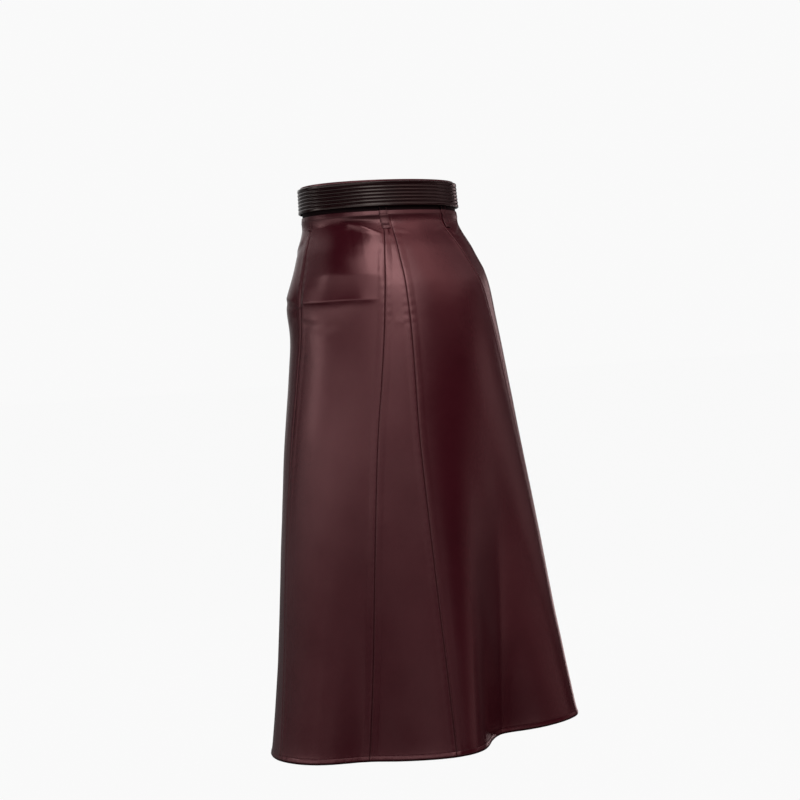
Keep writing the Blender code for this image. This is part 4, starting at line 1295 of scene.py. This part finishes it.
def build_pocket_stitching():
    """Topstitching along each pocket mouth, with a bar tack at each end."""
    starts, ends, outs = [], [], []
    for name, side in (("side_left", 1.0), ("side_right", -1.0)):
        d = np.linspace(POCKET_TOP, POCKET_END, 400)
        t = seam_turn(name, d) + side * 0.0060 / per_degree(seam_turn(name, d), d)
        o = 0.00030 + 0.0012 * np.sin(np.pi * (d - POCKET_TOP) / (POCKET_END - POCKET_TOP)) ** 0.8 * math.exp(-(0.0060 / 0.0085) ** 2)
        a, b, share = run_stitches(laid(t, d, o + 0.00012))
        k = np.interp(share, np.linspace(0, 1, 400), np.arange(400)).astype(int)
        starts.append(a), ends.append(b), outs.append(outward(t[k], d[k]))
        for place in (POCKET_TOP - 0.0006, POCKET_END + 0.0006):
            bars = place + np.linspace(-0.0012, 0.0012, 9)
            m = seam_turn(name, bars)
            deg = per_degree(m, bars)
            lean = np.where(np.arange(9) % 2, 0.0002, -0.0002)
            lift = np.full(9, 0.0008)
            starts.append(laid(m - side * 0.0012 / deg, bars - lean, lift))
            ends.append(laid(m + side * 0.0068 / deg, bars + lean, lift))
            outs.append(outward(m, bars))
    sewn = stitches("pocket_stitching", np.concatenate(starts), np.concatenate(ends), np.concatenate(outs),
                    THREAD, THREAD_MATERIAL)
    return finish_piece(sewn, ())


hem_stitching = build_hem_stitching()
pocket_stitching = build_pocket_stitching()


# --------------------------------------------------------- floor, light, camera
def build_floor():
    n, radius, height = 96, 40.0, -1.030
    a = 2 * np.pi * np.arange(n) / n
    rings = [np.stack([r * np.cos(a), r * np.sin(a), np.full(n, height)], -1) for r in (0.6, 1.5, 4.0, 12.0, radius)]
    grid = np.stack(rings)
    points = np.concatenate([grid.reshape(-1, 3), [[0, 0, height]]])
    s, j = np.meshgrid(np.arange(len(rings) - 1), np.arange(n), indexing="ij")
    s, j = s.ravel(), j.ravel()
    m = (j + 1) % n
    quads = np.stack([s * n + j, (s + 1) * n + j, (s + 1) * n + m, s * n + m], 1)
    j = np.arange(n)
    tris = np.stack([np.full(n, len(rings) * n), j, (j + 1) % n], 1)
    floor = make_mesh("floor", points, quads, tris, [floor_material()])
    floor.visible_glossy = False
    floor.visible_diffuse = False
    return floor


def build_world(ambient, backdrop):
    world = bpy.data.worlds.new("studio")
    world.use_nodes = True
    tree = world.node_tree
    tree.nodes.clear()
    out = tree.nodes.new("ShaderNodeOutputWorld")
    mix = tree.nodes.new("ShaderNodeMixShader")
    path = tree.nodes.new("ShaderNodeLightPath")
    dim, pale = tree.nodes.new("ShaderNodeBackground"), tree.nodes.new("ShaderNodeBackground")
    dim.inputs[0].default_value, dim.inputs[1].default_value = ambient, 1.0
    pale.inputs[0].default_value, pale.inputs[1].default_value = backdrop, 1.0
    tree.links.new(path.outputs["Is Camera Ray"], mix.inputs[0])
    tree.links.new(dim.outputs[0], mix.inputs[1])
    tree.links.new(pale.outputs[0], mix.inputs[2])
    tree.links.new(mix.outputs[0], out.inputs[0])
    bpy.context.scene.world = world


# A dome of soft light panels round the skirt, as rings at their rise over the horizon.
# Each number is one panel's brightness, in thousandths of the brightest a panel can
# be, from turn -112 in equal steps. The light comes from high behind the wearer and
# from a broad band on the left, and is dark to the right of centre back.
Ring = namedtuple("Ring", "rise step panels")
DOME = (
    Ring(62, 28, (8, 3, 9, 40, 117, 2, 0, 0, 0, 60, 75, 90)),
    Ring(49, 14, (7, 0, 2, 10, 21, 53, 56, 79, 203, 216, 37, 0, 0, 0, 0, 0, 8, 25, 45, 60, 70, 60, 60, 70, 80)),
    Ring(38, 14, (5, 0, 10, 19, 24, 39, 53, 83, 196, 226, 144, 52, 10, 0, 0, 0, 8, 20, 40, 55, 90, 80, 70, 70, 70)),
    Ring(27, 14, (5, 0, 16, 22, 28, 28, 25, 30, 101, 139, 59, 35, 0, 0, 0, 0, 0, 10, 20, 30, 40, 50, 60, 60, 60)),
    Ring(17, 14, (6, 8, 5, 0, 1, 3, 2, 0, 0, 25, 56, 58, 39, 31, 21, 27, 136, 17, 0, 10, 20, 40, 50, 60, 60)),
    Ring(7, 14, (43, 0, 5, 19, 7, 3, 1, 0, 0, 11, 28, 33, 50, 66, 79, 64, 41, 39, 0, 8, 10, 20, 30, 40, 40)),
    Ring(-3, 14, (38, 2, 9, 15, 4, 0, 0, 0, 19, 20, 0, 11, 11, 21, 9, 17, 22, 21, 21, 15, 10, 15, 20, 20, 20)),
    Ring(-14, 14, (76, 0, 4, 2, 17, 15, 12, 29, 10, 0, 3, 8, 22, 3, 20, 0, 0, 0, 0, 18, 10, 10, 10, 10, 10)),
)
DOME_START = -112.0
DOME_DISTANCE = 3.0
DOME_POWER = 0.040
AIM = Vector((0.0, 0.0, -0.35))


def build_lights():
    for ring in DOME:
        e = math.radians(ring.rise)
        for k, bright in enumerate(ring.panels):
            if bright < 4:
                continue
            a = math.radians(DOME_START + ring.step * k)
            away = Vector((math.sin(a) * math.cos(e), math.cos(a) * math.cos(e), math.sin(e)))
            data = bpy.data.lights.new("panel_%d_%d" % (ring.rise, k), 'AREA')
            data.shape = 'RECTANGLE'
            data.size = DOME_DISTANCE * math.radians(ring.step) * max(math.cos(e), 0.35)
            data.size_y = DOME_DISTANCE * math.radians(11.0)
            data.energy = DOME_POWER * bright * data.size * data.size_y
            if math.degrees(a) < -20:           # a touch of rose from the right
                data.color = (1.28, 0.97, 0.98)
            if math.degrees(a) < -36:
                data.color = (1.52, 1.15, 1.16)
            obj = bpy.data.objects.new(data.name, data)
            bpy.context.scene.collection.objects.link(obj)
            obj.location = AIM + away * DOME_DISTANCE
            obj.rotation_mode = 'QUATERNION'
            obj.rotation_quaternion = (-away).to_track_quat('-Z', 'Y')
            obj.visible_camera = False


def build_camera():
    """The photograph's view: from behind the wearer's left, level with the hip, rolled a little."""
    distance, height = 2.553, -0.230
    turn, pan, pitch, roll = (math.radians(v) for v in (37.41, -0.225, -1.802, -3.959))
    place = Vector((distance * math.sin(turn), distance * math.cos(turn), height))
    f = Vector((-math.sin(turn), -math.cos(turn), 0.0))
    f = Vector((f.x * math.cos(pan) - f.y * math.sin(pan), f.x * math.sin(pan) + f.y * math.cos(pan), 0.0))
    r = f.cross(Vector((0, 0, 1))).normalized()
    f = (f * math.cos(pitch) + Vector((0, 0, 1)) * math.sin(pitch)).normalized()
    u = r.cross(f)
    right = r * math.cos(roll) + u * math.sin(roll)
    up = -r * math.sin(roll) + u * math.cos(roll)
    data = bpy.data.cameras.new("camera")
    data.sensor_width, data.lens = 36.0, 1769.0 * 36.0 / 800.0
    data.clip_start, data.clip_end = 0.05, 200.0
    camera = bpy.data.objects.new("camera", data)
    bpy.context.scene.collection.objects.link(camera)
    m = Matrix.Identity(4)
    for i in range(3):
        m[i][0], m[i][1], m[i][2], m[i][3] = right[i], up[i], -f[i], place[i]
    camera.matrix_world = m
    bpy.context.scene.camera = camera


build_floor()
build_world((0.006, 0.006, 0.006, 1.0), (0.95, 0.95, 0.95, 1.0))
build_lights()
build_camera()
bpy.context.scene.view_settings.view_transform = 'Standard'
